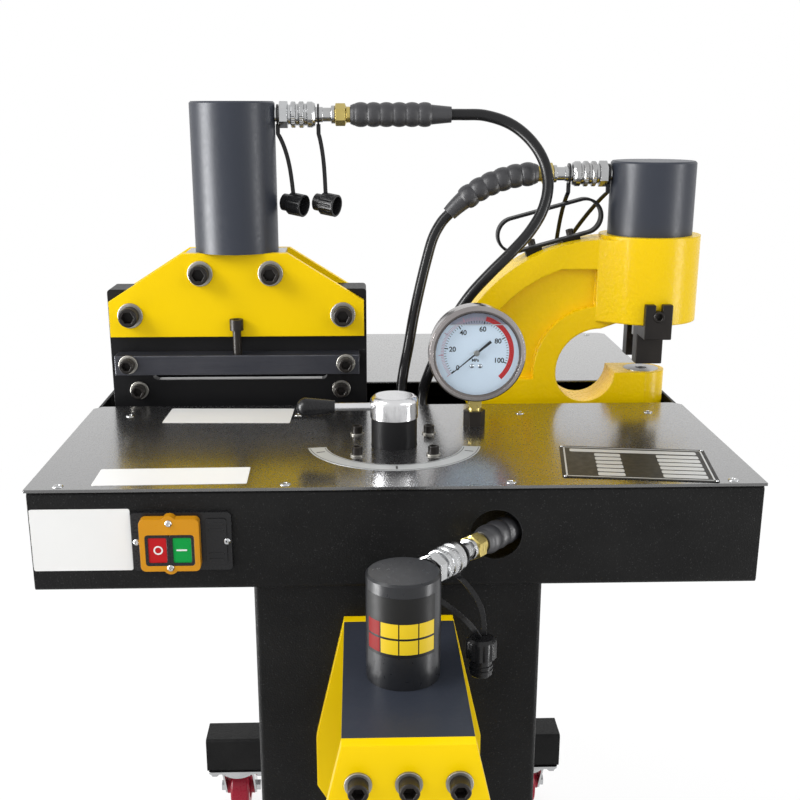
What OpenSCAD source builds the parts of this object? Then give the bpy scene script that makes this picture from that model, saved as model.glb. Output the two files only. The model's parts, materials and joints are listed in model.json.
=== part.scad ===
/* [Table] */
// Width of the work table
table_w = 700; // [660:10:800]
// Depth of the work table, front to back
table_d = 740; // [700:10:820]
// Height of the work surface above the floor
table_h = 845; // [800:5:900]
// Height of the folded tray under the covers
tray_h = 100; // [90:1:120]
// Thickness of the tray and cabinet sheet
sheet_t = 3; // [2:0.5:4]
// Thickness of the two table covers
cover_t = 3; // [2:0.5:4]
// How far the covers stand past the tray
cover_overhang = 2; // [1:0.5:4]
// Depth of the front cover
front_cover_d = 303; // [290:1:310]
// Width of the open trough that holds the tools
trough_w = 116; // [110:1:130]
// Outside radius of the tray's folds
bend_r = 5; // [4:0.5:8]
// Width of the tray's top flanges
flange_w = 20; // [15:1:30]
// Size of the clipped rear corners of the front cover
corner_clip = 9; // [4:1:14]
// Diameter of the hose hole in the apron
hose_hole_d = 50; // [46:1:56]

/* [Cabinet] */
// Width of the cabinet
cabinet_w = 280; // [260:5:320]
// Set-back of the cabinet behind the apron
cabinet_setback = 4; // [2:1:10]
// Set-back of the cabinet from the tray's rear wall
cabinet_rear_setback = 12; // [4:1:20]
// Width of the air slots in the cabinet's rear wall
louvre_w = 140; // [100:5:180]
// Number of air slots
louvre_count = 7; // [4:1:9]

/* [Legs and casters] */
// Length of each leg tube
leg_len = 600; // [560:10:640]
// Side of the square leg tube
leg_tube = 60; // [50:1:70]
// Wall of the leg tube
leg_wall = 3; // [2:0.5:5]
// Height of a caster from floor to plate top
caster_h = 103; // [100:1:115]
// Distance of a caster's centre from the leg's end
caster_inset = 50; // [50:1:70]
// Caster wheel diameter
wheel_d = 75; // [65:1:76]
// Caster wheel tread width
wheel_w = 32; // [28:1:36]
// Caster trail, from swivel axis to axle
caster_trail = 30; // [24:1:36]

/* [Cutter] */
// Distance of the cutter's axis from the left edge of the table
cutter_from_left = 170; // [165:1:180]
// Width of the cutter body
cutter_w = 306; // [290:1:320]
// Thickness of the cutter body
cutter_t = 46; // [42:1:50]
// Top of the cutter body above the table
cutter_top = 135; // [130:1:145]
// Width of the cutting slot
slot_w = 210; // [200:1:220]
// Height of the cutting slot
slot_h = 13; // [11:0.5:16]
// Bottom of the cutting slot above the table
slot_z = 25; // [20:1:28]
// Thickness of the yellow side plates
cutter_plate_t = 11; // [9:1:13]
// Top of the yellow side plates above the table
cutter_plate_top = 178; // [172:1:190]
// Cutter cylinder diameter
cutter_cyl_d = 98; // [90:1:105]
// Top of the cutter cylinder above the table
cutter_cyl_top = 348; // [335:1:360]
// Cutter blade travel
cutter_stroke = 25; // [20:1:28]

/* [Punch] */
// Distance of the punch's axis from the right edge of the table
punch_from_right = 37; // [34:1:45]
// Thickness of the punch casting's arm
arm_t = 56; // [50:1:62]
// Diameter of the punch head
head_d = 120; // [116:1:128]
// Underside of the punch head above the table
head_z0 = 95; // [92:1:100]
// Top of the punch head above the table
head_z1 = 196; // [194:1:202]
// Punch cylinder diameter
punch_cyl_d = 100; // [92:1:106]
// Top of the punch cylinder above the table
punch_cyl_top = 281; // [276:1:300]
// Diameter of the die boss
boss_d = 55; // [53:1:62]
// Top of the die boss above the table
boss_z = 31.5; // [30:0.5:33]
// Punch travel
punch_stroke = 20; // [18:1:20]

/* [Bender] */
// Gap between the bender's side plates
bender_gap = 209; // [205:1:215]
// Thickness of the bender's side plates
bender_plate_t = 12; // [10:1:14]
// Half width of the bender plates at the top
bender_top_half = 53; // [50:1:56]
// Half width of the bender plates at the widest
bender_wide_half = 82; // [78:1:90]
// Half width of the bender plates at the bottom
bender_foot_half = 50; // [49:1:56]
// Drop of the bender block's top below the table
bender_drop = 135; // [130:1:140]
// Height of the bender block
bender_block_h = 68; // [62:1:74]
// Bender cylinder diameter
bender_cyl_d = 65; // [60:1:70]
// Height of the bender cylinder above its block
bender_cyl_h = 97; // [94:1:104]
// Bender punch travel
bender_stroke = 60; // [50:1:62]

/* [Hydraulics] */
// Outside diameter of the hoses
hose_d = 13; // [12:0.5:14]
// Plain diameter of the hose sleeves
sleeve_d = 22; // [20:0.5:23]
// Diameter over the ribs of the hose sleeves
sleeve_rib_d = 28; // [26:0.5:29]

/* [Valve and gauge] */
// Distance of the valve from the front edge
valve_from_front = 139; // [130:1:150]
// Diameter of the valve hub
hub_d = 48; // [44:1:52]
// Height of the valve hub above the table
hub_h = 30; // [26:1:34]
// Height of the valve cap
cap_h = 23; // [20:1:26]
// Reach of the lever from the valve axis
lever_reach = 102; // [95:1:110]
// Sideways place of the pressure gauge
gauge_x = 92; // [85:1:100]
// Distance of the gauge from the front edge
gauge_from_front = 213; // [205:1:225]
// Gauge diameter
gauge_d = 106; // [100:1:110]
// Height of the gauge centre above the table
gauge_z = 84; // [84:1:90]

/* [Switch] */
// Distance of the switch plate's middle from the left edge of the table
switch_from_left = 145; // [140:1:155]
// Width of the switch plate
switch_w = 94; // [90:1:100]
// Height of the switch plate
switch_h = 58; // [56:1:66]
// Drop of the switch centre below the table
switch_drop = 52; // [48:1:56]

/* [Hidden] */
$fn = 64;
yellow = "#F4CC10";
black_paint = "#242428";
dark_steel = "#35353B";
zinc = "#C9CACC";
brass = "#C9A94A";
rubber = "#2B2B2F";

// Running clearance round a shaft, gap between sliding flats, and hole clearance round a bolt
shaft_fit = 0.05;
slide_gap = 0.3;
bolt_fit = 0.3;

// Table levels and edges
top_z = table_h;
tray_top = table_h - cover_t;
tray_z = tray_top - tray_h;
floor_z = tray_z + sheet_t;
tray_w = table_w - 2 * cover_overhang;
tray_d = table_d - 2 * cover_overhang;
front_y = -table_d / 2;
apron_y = -tray_d / 2;
trough_y0 = front_y + front_cover_d;
trough_y1 = trough_y0 + trough_w;
tool_y = (trough_y0 + trough_y1) / 2 - 6;
hose_hole_x = 93;
cutter_x = cutter_from_left - table_w / 2;
punch_x = table_w / 2 - punch_from_right;
switch_x = switch_from_left - table_w / 2;
hose_hole_z = top_z - 50;

// Cabinet and legs
leg_z0 = caster_h;
leg_z1 = caster_h + leg_tube;
cabinet_y0 = apron_y + cabinet_setback;
cabinet_y1 = tray_d / 2 - cabinet_rear_setback;
cabinet_d = cabinet_y1 - cabinet_y0;
cabinet_mid_y = (cabinet_y0 + cabinet_y1) / 2;
leg_y = table_d / 2 - leg_tube / 2;
caster_x = leg_len / 2 - caster_inset;
tank_w = 220;
tank_d = 300;
tank_h = 200;
motor_d = 140;
motor_h = 230;
pipe_hole_d = 60;
pipe_hole_y = 150;

// Caster pieces
caster_plate = [95, 65, 4];
race_d = 56;
race_h = 7;
kingpin_d = 12;
crown_h = 5;
fork_half = 24;
fork_t = 3;
axle_d = 10;
axle_z = wheel_d / 2;
crown_top = caster_h - caster_plate[2] - race_h - slide_gap;

// Cutter pieces
body_y0 = tool_y - cutter_t / 2;
body_y1 = tool_y + cutter_t / 2;
plate_half = cutter_w / 2 - 3;
plate_top_half = 61;
plate_foot = 80;
plate_shoulder = 122;
blade_half = slot_w / 2 + 7;
blade_t = 16;
blade_edge = slot_z + slot_h + 0.5;
blade_rake = 5;
blade_top = 108;
lower_blade_t = 12;
lower_blade_h = 20;
ram_d = 36;
cutter_ram_top = cutter_cyl_top - 60;
bar_half = cutter_w / 2 - 9;
bar_t = cutter_plate_t + 16;
bar_z0 = slot_z + slot_h - 0.5;
bar_h = 23;
bar_y0 = body_y0 - bar_t;
clamp_d = 10;
clamp_head_d = 16;
clamp_head_h = 13;
clamp_len = 51;
clamp_y = body_y0 - cutter_plate_t - clamp_head_d / 2 - slide_gap;
big_bolt = 16;
small_bolt = 12;
valve_bolt = 8;
upper_bolt_x = 41;
upper_bolt_z = 155;
outer_bolt_x = 125;
outer_bolt_z = 106;
bar_bolt_x = 128;
bar_bolt_z = bar_z0 + 13;
foot_bolt_x = 122;
foot_bolt_z = 13;

// Punch casting
arm_y0 = tool_y - arm_t / 2;
arm_r = 192;
arm_c = [punch_x - 57, 0];
arm_back_x = punch_x - 216;
jaw_z = -14;
throat_r = 52;
throat_c = [punch_x - 59, 34];
throat_low_r = 36;
throat_low_c = [punch_x - 75, 32];
neck_in = 40;
neck_reach = 66;
pocket_depth = 10;
rim = 27;
pocket_z = 24;
pocket_h = 133;
pocket_in = 18;
punch_ram_top = punch_cyl_top - 40;
tool_z = boss_z - 3.5 + punch_stroke;
tool_d = 13;
holder_d = 27;
die_d = 42;
die_h = 16;
die_lip = 0.3;
slug_d = 22;
stripper_w = 32;
stripper_t = 10;
stripper_leg = 20;
stripper_in = 15;
punch_ram_d = 2 * stripper_in - 1;
stripper_z = 44;
stripper_top = 121;
stripper_tab = 41;
handle_t = 3.2;
handle_w = 16;
handle_half = 43;
handle_r = 20;
handle_tilt = 15;
handle_c = [punch_x - 121, 206];
handle_foot_x = [-25, 22];
stand_w = 195;
stand_past = 10;
stand_wall = 6;

// Bender pieces
bender_rear_y = cabinet_y0 - bender_plate_t;
bender_front_y = bender_rear_y - bender_gap;
bender_face_y = bender_front_y - bender_plate_t;
bender_y = bender_rear_y - bender_gap / 2;
bender_z = top_z - bender_drop;
bender_wide_z = bender_z - 127;
bender_turn_z = bender_wide_z - 54;
bender_foot_z = bender_turn_z - 55;
bender_ram_z = bender_z - bender_block_h - 12;
bender_ram_top = bender_z + bender_cyl_h - 30;
bender_tip_z = bender_ram_z - 47;
bender_tool_len = 200;
die_block_top = bender_tip_z - bender_stroke + 12;
die_block_half = 48;
die_groove = 32;
bender_bolt_x = 40;
bender_bolt_z = bender_z - bender_block_h / 2;
die_bolt_x = 25;
die_bolt_z = bender_foot_z + 22;

// Couplings, from the port face outwards
port_d = 16;
port_in = 8;
coupler_len = 69;
nut_len = 18;
cutter_port = [cutter_x + cutter_cyl_d / 2, tool_y, top_z + cutter_cyl_top - 15];
punch_port = [punch_x - punch_cyl_d / 2, tool_y, top_z + punch_cyl_top - 15];
bender_turn = atan2(apron_y - bender_y, hose_hole_x);
bender_port_r = bender_cyl_d / 2;
sleeve_len = 117;
sleeve_ribs = 6;
sleeve_arc_r = 140;
sleeve_arc = sleeve_len / sleeve_arc_r * 180 / PI;
sleeve_start = [punch_port[0] - coupler_len - nut_len, tool_y, punch_port[2]];

// Hose routes: a straight lead out of the sleeve, then points sideways, in depth and above the table
hose_lead = 14;
cutter_hose_start = [cutter_port[0] + coupler_len + nut_len + sleeve_len, tool_y, cutter_port[2] - top_z];
cutter_path = [
    [112, -3, 332], [140, -10, 323], [162, -20, 306], [177, -31, 283], [182, -41, 257], [176, -50, 230],
    [161, -56, 205], [140, -60, 182], [116, -60, 158], [93, -55, 131], [74, -47, 99], [60, -36, 64],
    [49, -23, 33], [42, -13, 6], [40, -21, -22], [40, -41, -42], [40, -69, -50], [40, -101, -50],
    [40, -135, -50]];
cutter_route = concat([cutter_hose_start, cutter_hose_start + [hose_lead, 0, 0]],
    led(cutter_path, cutter_hose_start - [73, tool_y, 333]));
punch_hose_start = [sleeve_start[0] - sleeve_arc_r * sin(sleeve_arc), tool_y,
    sleeve_start[2] - top_z - sleeve_arc_r * (1 - cos(sleeve_arc))];
punch_path = [
    [53, 0, 191], [45, -2, 163], [37, -5, 130], [30, -7, 97], [24, -10, 62], [18, -12, 31], [15, -13, 6],
    [14, -21, -22], [14, -41, -42], [14, -69, -50], [14, -101, -50], [14, -135, -50]];
punch_route = concat([punch_hose_start, punch_hose_start - hose_lead * [cos(sleeve_arc), 0, sin(sleeve_arc)]],
    led(punch_path, punch_hose_start - [72.16, tool_y, 219.9]));
hose_sides = 10;
hose_steps = 2;

// Valve, lever and gauge
valve_y = front_y + valve_from_front;
valve_block = [110, 110, 55];
valve_screw_half = 39;
lever_z = top_z + 41;
lever_rod_d = 8.4;
lever_seat = 12;
grip_start = 62;
spigot_d = 20;
gauge_y = front_y + gauge_from_front;
fitting_h = 17;
gauge_depth = 40;
gauge_front = gauge_y - gauge_depth / 2;
bezel_t = 14;
bezel_w = 5;
gauge_recess = 12;
needle_turn = -130;
needle_len = 36;

// Switch
switch_z = top_z - switch_drop;
switch_base_t = 4;
switch_frame_size = [56, 52, 10];
switch_frame_x = switch_x - 10;
button_size = [20, 27];
button_pitch = 22;
button_z = switch_z - 5;
button_depth = 15;

CORNERS = [[-1, -1], [1, -1], [-1, 1], [1, 1]];

// Rounded rectangle drawn from true arcs
module rounded_rect(w, h, r) {
    square([w - 2 * r, h], center = true);
    square([w, h - 2 * r], center = true);
    for (c = CORNERS)
        translate([c[0] * (w / 2 - r), c[1] * (h / 2 - r)]) circle(r);
}

// Extrudes an outline drawn in X and Z through the depth, from y to y + depth
module front_profile(y, depth) {
    translate([0, y + depth, 0]) rotate([90, 0, 0]) linear_extrude(depth) children();
}

// Extrudes an outline drawn in Y and Z sideways, from x to x + width
module side_profile(x, width) {
    translate([x, 0, 0]) rotate([90, 0, 90]) linear_extrude(width) children();
}

// Hexagonal bar of a given width across flats
module hex_bar(flats, h) {
    cylinder(d = flats / cos(30), h = h, $fn = 6);
}

// Socket cap screw with a washer, seated at z = 0 with its head upwards and its shank below
module cap_screw(d, shank) {
    washer_t = d / 5;
    difference() {
        union() {
            cylinder(d = 1.75 * d + 2.5, h = washer_t);
            cylinder(d = 1.5 * d, h = washer_t + d);
        }
        translate([0, 0, washer_t + d / 2]) hex_bar(0.85 * d, d);
    }
    translate([0, 0, -shank]) cylinder(d = d, h = shank);
}

// Socket cap screw seated on a face that looks forward
module front_screw(x, y, z, d, shank) {
    translate([x, y, z]) rotate([90, 0, 0]) cap_screw(d, shank);
}

// Folded sheet tray with welded ends, the stand for the punch, and its hose, switch and pipe holes
module table_tray() {
    mid_z = tray_z + tray_h / 2;
    color(black_paint) difference() {
        union() {
            side_profile(-tray_w / 2, tray_w) translate([0, mid_z]) difference() {
                rounded_rect(tray_d, tray_h, bend_r);
                rounded_rect(tray_d - 2 * sheet_t, tray_h - 2 * sheet_t, bend_r - sheet_t);
                translate([-tray_d / 2 + flange_w, 0]) square([tray_d - 2 * flange_w, tray_h]);
            }
            for (x = [-tray_w / 2, tray_w / 2 - sheet_t])
                side_profile(x, sheet_t) translate([0, mid_z]) rounded_rect(tray_d, tray_h, bend_r);
        }
        translate([hose_hole_x, apron_y - 1, hose_hole_z]) rotate([-90, 0, 0])
            cylinder(d = hose_hole_d, h = sheet_t + 2);
        translate([0, pipe_hole_y, tray_z - 1]) cylinder(d = pipe_hole_d, h = sheet_t + 2);
        for (side = [-1, 1])
            translate([switch_frame_x + side * button_pitch / 2, apron_y, button_z])
                cube([button_size[0] + 1, 4 * sheet_t, button_size[1] + 1], center = true);
    }
    color(black_paint) punch_stand();
}

// Channel that stands on the tray floor, open side down, under the punch casting
module punch_stand() {
    stand_h = top_z + jaw_z - floor_z;
    side_profile(punch_x + stand_past - stand_w, stand_w) translate([tool_y, floor_z + stand_h / 2])
        difference() {
            square([arm_t, stand_h], center = true);
            translate([0, -stand_wall]) square([arm_t - 2 * stand_wall, stand_h], center = true);
        }
}

// Front cover sheet with clipped rear corners and holes for the valve and gauge
module front_cover() {
    half = table_w / 2;
    color(black_paint) translate([0, 0, tray_top]) linear_extrude(cover_t) difference() {
        polygon([[-half, front_y], [half, front_y], [half, trough_y0 - corner_clip],
            [half - corner_clip, trough_y0], [corner_clip - half, trough_y0],
            [-half, trough_y0 - corner_clip]]);
        translate([0, valve_y]) circle(d = hub_d + 2 * bolt_fit);
        for (c = CORNERS)
            translate([c[0] * valve_screw_half, valve_y + c[1] * valve_screw_half])
                circle(d = valve_bolt + 2 * bolt_fit);
        translate([gauge_x, gauge_y]) circle(d = 14 + 2 * bolt_fit);
    }
}

module rear_cover() {
    half = table_w / 2;
    color(black_paint) translate([0, 0, tray_top]) linear_extrude(cover_t)
        polygon([[-half, trough_y1], [half, trough_y1], [half, -front_y - corner_clip],
            [half - corner_clip, -front_y], [corner_clip - half, -front_y], [-half, -front_y - corner_clip]]);
}

// Sheet cabinet with a floor and air slots in its rear wall
module cabinet() {
    louvre_pitch = 26;
    louvre_h = 8;
    color(black_paint) difference() {
        translate([0, cabinet_mid_y, leg_z1]) linear_extrude(tray_z - leg_z1)
            rounded_rect(cabinet_w, cabinet_d, bend_r);
        translate([0, cabinet_mid_y, leg_z1 + sheet_t]) linear_extrude(tray_z - leg_z1)
            rounded_rect(cabinet_w - 2 * sheet_t, cabinet_d - 2 * sheet_t, bend_r - sheet_t);
        for (i = [0 : louvre_count - 1])
            translate([-louvre_w / 2, cabinet_y1 - 2 * sheet_t, leg_z1 + 180 + i * louvre_pitch])
                cube([louvre_w, 4 * sheet_t, louvre_h]);
    }
}

// Two square tubes with welded end plates and a vent hole below
module legs() {
    vent_d = 8;
    color(black_paint) for (side = [-1, 1])
        difference() {
            side_profile(-leg_len / 2, leg_len) translate([side * leg_y, leg_z0 + leg_tube / 2])
                rounded_rect(leg_tube, leg_tube, bend_r);
            side_profile(-leg_len / 2 + leg_wall, leg_len - 2 * leg_wall)
                translate([side * leg_y, leg_z0 + leg_tube / 2])
                    rounded_rect(leg_tube - 2 * leg_wall, leg_tube - 2 * leg_wall, bend_r - leg_wall);
            translate([0, side * leg_y, leg_z0 - 1]) cylinder(d = vent_d, h = leg_wall + 2);
        }
}

module oil_tank() {
    color(dark_steel) translate([0, 0, leg_z1 + sheet_t]) linear_extrude(tank_h)
        rounded_rect(tank_w, tank_d, 2 * bend_r);
}

// Upright motor with a rounded fan cover, standing on the tank lid
module pump_motor() {
    fan_h = motor_h / 8;
    color(dark_steel) translate([0, 0, leg_z1 + sheet_t + tank_h]) {
        cylinder(d = motor_d, h = motor_h - fan_h);
        translate([0, 0, motor_h - fan_h]) cylinder(d1 = motor_d, d2 = motor_d - fan_h, h = fan_h);
    }
}

// Rotary valve body that hangs under the front cover, with two hose stubs at its back
module valve_block() {
    back_y = valve_y + valve_block[1] / 2;
    stub_y = cutter_route[len(cutter_route) - 1][1];
    color(dark_steel) {
        translate([-valve_block[0] / 2, valve_y - valve_block[1] / 2, tray_top - valve_block[2]])
            cube(valve_block);
        for (route = [cutter_route, punch_route])
            translate([route[len(route) - 1][0], back_y, top_z + route[len(route) - 1][2]])
                rotate([-90, 0, 0]) cylinder(d = hose_d + 5, h = stub_y - back_y);
    }
}

// Top plates and fixed bearing races of the four casters
module caster_plates() {
    for (c = CORNERS)
        color(zinc) translate([c[0] * caster_x, c[1] * leg_y, caster_h]) difference() {
            union() {
                translate([0, 0, -caster_plate[2]]) linear_extrude(caster_plate[2])
                    rounded_rect(caster_plate[0], caster_plate[1], bend_r);
                translate([0, 0, -caster_plate[2] - race_h]) cylinder(d = race_d, h = race_h);
            }
            translate([0, 0, -caster_plate[2] - race_h - 1])
                cylinder(d = kingpin_d + 2 * shaft_fit, h = caster_plate[2] + race_h + 2);
        }
}

// Swivel fork with its kingpin and axle bolt, trailing backwards
module fork(corner) {
    crown_r = race_d / 2 - 1;
    leg_top = crown_top - crown_h / 2;
    boss_r = 13;
    nut_h = 7;
    color(zinc) translate([corner[0] * caster_x, corner[1] * leg_y, 0]) {
        translate([0, 0, crown_top - crown_h]) cylinder(r = crown_r, h = crown_h);
        translate([0, 0, crown_top]) cylinder(d = kingpin_d, h = race_h + caster_plate[2] - 1);
        for (x = [-fork_half - fork_t, fork_half])
            side_profile(x, fork_t) {
                polygon([[-16, leg_top], [18, leg_top], [caster_trail + boss_r, axle_z + 2],
                    [caster_trail - boss_r, axle_z - 2]]);
                translate([caster_trail, axle_z]) circle(boss_r);
            }
        translate([-fork_half - fork_t, -16, crown_top - crown_h])
            cube([2 * (fork_half + fork_t), 34, crown_h / 2]);
        translate([-fork_half - fork_t, caster_trail, axle_z]) rotate([0, 90, 0])
            cylinder(d = axle_d, h = 2 * (fork_half + fork_t));
        for (x = [-fork_half - fork_t - nut_h, fork_half + fork_t])
            translate([x, caster_trail, axle_z]) rotate([0, 90, 0]) hex_bar(17, nut_h);
    }
}

// Wheel with a crowned tread, a dished web and a wide hub
module wheel(corner) {
    tread_half = wheel_w / 2;
    hub_half = fork_half - slide_gap;
    crown = 5;
    bore_r = axle_d / 2 + shaft_fit;
    color("#8E1626") translate([corner[0] * caster_x, corner[1] * leg_y + caster_trail, axle_z])
        rotate([0, 90, 0]) rotate_extrude() {
            translate([bore_r, -hub_half]) square([14 - bore_r, 2 * hub_half]);
            translate([bore_r, -tread_half / 2]) square([wheel_d / 2 - 2 * crown - bore_r, tread_half]);
            translate([wheel_d / 2 - 3 * crown, -tread_half]) square([2 * crown, 2 * tread_half]);
            translate([wheel_d / 2 - 2 * crown, crown - tread_half])
                square([2 * crown, 2 * (tread_half - crown)]);
            for (side = [-1, 1])
                translate([wheel_d / 2 - crown, side * (tread_half - crown)]) circle(crown);
        }
}

// Outline of the yellow side plates, which the head block follows
module cutter_outline() {
    polygon([[-plate_half, plate_foot], [plate_half, plate_foot], [plate_half, plate_shoulder],
        [plate_top_half, cutter_plate_top], [-plate_top_half, cutter_plate_top],
        [-plate_half, plate_shoulder]]);
}

// Centres of the four large bolts of a cutter plate
cutter_bolts = [[-upper_bolt_x, upper_bolt_z], [upper_bolt_x, upper_bolt_z],
    [-outer_bolt_x, outer_bolt_z], [outer_bolt_x, outer_bolt_z]];

// Busbar slot with round ends
module slot_outline() {
    end_x = (slot_w - slot_h) / 2;
    square([2 * end_x, slot_h], center = true);
    for (side = [-1, 1]) translate([side * end_x, 0]) circle(d = slot_h);
}

// Thick black body with the busbar slot, the blade channel and the lower blade's pocket
module cutter_body() {
    foot = floor_z - top_z;
    corner_r = 4;
    color(black_paint) translate([cutter_x, 0, top_z]) difference() {
        front_profile(body_y0, cutter_t) union() {
            translate([0, (foot + cutter_top) / 2]) rounded_rect(cutter_w, cutter_top - foot, corner_r);
            translate([-cutter_w / 2, foot]) square([cutter_w, 2 * corner_r]);
        }
        front_profile(body_y0 - 1, cutter_t + 2) translate([0, slot_z + slot_h / 2]) slot_outline();
        translate([0, tool_y, blade_top - cutter_stroke - 2])
            cylinder(d = ram_d + 2 * slide_gap, h = cutter_top);
        translate([-blade_half, tool_y - blade_t / 2, slot_z - lower_blade_h])
            cube([2 * blade_half, blade_t, cutter_top + lower_blade_h]);
        translate([-blade_half, tool_y - blade_t / 2 - lower_blade_t, slot_z - lower_blade_h])
            cube([2 * blade_half, lower_blade_t + 1, lower_blade_h]);
        for (side = [-1, 1])
            translate([side * foot_bolt_x, body_y0 - 1, foot_bolt_z]) rotate([-90, 0, 0])
                cylinder(d = small_bolt + 2 * bolt_fit, h = 20);
    }
}

module cutter_plates() {
    color(yellow) translate([cutter_x, 0, top_z])
        for (y = [body_y0 - cutter_plate_t, body_y1])
            difference() {
                front_profile(y, cutter_plate_t) cutter_outline();
                for (b = cutter_bolts)
                    translate([b[0], y - 1, b[1]]) rotate([-90, 0, 0])
                        cylinder(d = big_bolt + 2 * bolt_fit, h = cutter_plate_t + 2);
            }
}

// Block between the plates that carries the cylinder and guides the ram
module cutter_head_block() {
    color(zinc) translate([cutter_x, 0, top_z]) difference() {
        translate([3 - plate_top_half, body_y0, cutter_top])
            cube([2 * (plate_top_half - 3), cutter_t, cutter_plate_top - cutter_top]);
        translate([0, tool_y, cutter_top - 1])
            cylinder(d = ram_d + 2 * shaft_fit, h = cutter_plate_top - cutter_top + 2);
    }
}

// Hydraulic cylinder with a chamfered rim, a blind ram bore and a side port towards port_turn
module tool_cylinder(d, h, bore, bore_h, port_z, port_turn) {
    chamfer = 2;
    difference() {
        rotate_extrude() polygon([[0, 0], [d / 2, 0], [d / 2, h - chamfer], [d / 2 - chamfer, h], [0, h]]);
        translate([0, 0, -1]) cylinder(d = bore + 2 * shaft_fit, h = bore_h + 1);
        rotate([0, 0, port_turn]) translate([d / 2 - port_in - 1, 0, port_z]) rotate([0, 90, 0])
            cylinder(d = port_d + 2 * shaft_fit, h = 2 * port_in);
    }
}

module cutter_cylinder() {
    h = cutter_cyl_top - cutter_plate_top;
    color(dark_steel) translate([cutter_x, tool_y, top_z + cutter_plate_top])
        tool_cylinder(cutter_cyl_d, h, ram_d, cutter_ram_top - cutter_plate_top + 2, h - 15, 0);
}

module cutter_ram() {
    color(zinc) translate([cutter_x, tool_y, top_z + blade_top])
        cylinder(d = ram_d, h = cutter_ram_top - blade_top);
}

// Guillotine blade with a raked lower edge
module cutter_blade() {
    half = blade_half - slide_gap;
    color(zinc) translate([cutter_x, 0, top_z])
        front_profile(tool_y - blade_t / 2 + slide_gap, blade_t - 2 * slide_gap)
            polygon([[-half, blade_edge], [half, blade_edge + blade_rake], [half, blade_top],
                [-half, blade_top]]);
}

module cutter_lower_blade() {
    lower_y = tool_y - blade_t / 2 - lower_blade_t;
    color(zinc) translate([cutter_x - blade_half, lower_y, top_z + slot_z - lower_blade_h])
        cube([2 * blade_half, lower_blade_t, lower_blade_h]);
}

// Hold-down bar above the slot, drilled for its bolts and the clamp screw
module cutter_clamp_bar() {
    color(dark_steel) translate([cutter_x, 0, top_z]) difference() {
        translate([-bar_half, bar_y0, bar_z0]) cube([2 * bar_half, bar_t, bar_h]);
        translate([0, clamp_y, bar_z0 - 1]) cylinder(d = clamp_d + 2 * shaft_fit, h = bar_h + 2);
        for (side = [-1, 1])
            translate([side * bar_bolt_x, bar_y0 - 1, bar_bolt_z]) rotate([-90, 0, 0])
                cylinder(d = small_bolt + 2 * bolt_fit, h = bar_t + 2);
    }
}

module cutter_clamp_screw() {
    color(dark_steel) translate([cutter_x, clamp_y, top_z + bar_z0 + 1]) {
        cylinder(d = clamp_d, h = clamp_len);
        translate([0, 0, clamp_len]) difference() {
            cylinder(d = clamp_head_d, h = clamp_head_h);
            translate([0, 0, clamp_head_h / 2]) hex_bar(8, clamp_head_h);
        }
    }
}

// Socket screws of the cutter, bender and valve, with the nuts behind the cutter
module plate_bolts() {
    color(dark_steel) {
        translate([cutter_x, 0, top_z]) {
            for (b = cutter_bolts) {
                front_screw(b[0], body_y0 - cutter_plate_t, b[1], big_bolt, cutter_plate_t);
                translate([b[0], body_y1 + cutter_plate_t, b[1]]) rotate([-90, 0, 0]) hex_bar(24, 13);
            }
            for (side = [-1, 1]) {
                front_screw(side * bar_bolt_x, bar_y0, bar_bolt_z, small_bolt, bar_t);
                front_screw(side * foot_bolt_x, body_y0, foot_bolt_z, small_bolt, 18);
            }
        }
        for (i = [-1 : 1])
            front_screw(i * bender_bolt_x, bender_face_y, bender_bolt_z, small_bolt, bender_plate_t);
        for (side = [-1, 1])
            front_screw(side * die_bolt_x, bender_face_y, die_bolt_z, small_bolt, bender_plate_t);
        for (c = CORNERS)
            translate([c[0] * valve_screw_half, valve_y + c[1] * valve_screw_half, top_z])
                cap_screw(valve_bolt, cover_t);
    }
}

// Places a hose fitting, drawn along +X from a port face, at each of the three cylinders
module at_ports() {
    translate(cutter_port) children();
    translate(punch_port) rotate([0, 0, 180]) children();
    translate([0, bender_y, hose_hole_z]) rotate([0, 0, bender_turn])
        translate([bender_port_r, 0, 0]) children();
}

// Quick coupling: stub, hexagon, ribbed locking ring, neck and collar
module quick_couplers() {
    color(zinc) at_ports() rotate([0, 90, 0]) {
        translate([0, 0, -port_in]) cylinder(d = port_d, h = port_in + 5);
        translate([0, 0, 5]) hex_bar(26, 10);
        translate([0, 0, 15]) cylinder(d = 25, h = 32);
        for (z = [18, 27, 37]) translate([0, 0, z]) rotate_extrude()
            polygon([[8, 0], [13.5, 0], [14.8, 2], [14.8, 5], [13.5, 7], [8, 7]]);
        translate([0, 0, 47]) cylinder(d = 17, h = 18);
        translate([0, 0, 65]) cylinder(d = 20, h = coupler_len - 65);
    }
}

module hose_nuts() {
    color(brass) at_ports() translate([coupler_len, 0, 0]) rotate([0, 90, 0]) hex_bar(22, nut_len);
}

// One barrel-shaped rib of a hose sleeve, along Z
module sleeve_rib() {
    rotate_extrude() intersection() {
        translate([sleeve_rib_d / 2 - 7, 0]) circle(7);
        translate([0, -7]) square([sleeve_rib_d, 14]);
    }
}

module straight_sleeve() {
    rib_pitch = (sleeve_len - 27) / (sleeve_ribs - 1);
    rotate([0, 90, 0]) {
        cylinder(d = sleeve_d, h = sleeve_len);
        for (i = [0 : sleeve_ribs - 1]) translate([0, 0, 7 + i * rib_pitch]) sleeve_rib();
    }
}

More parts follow.
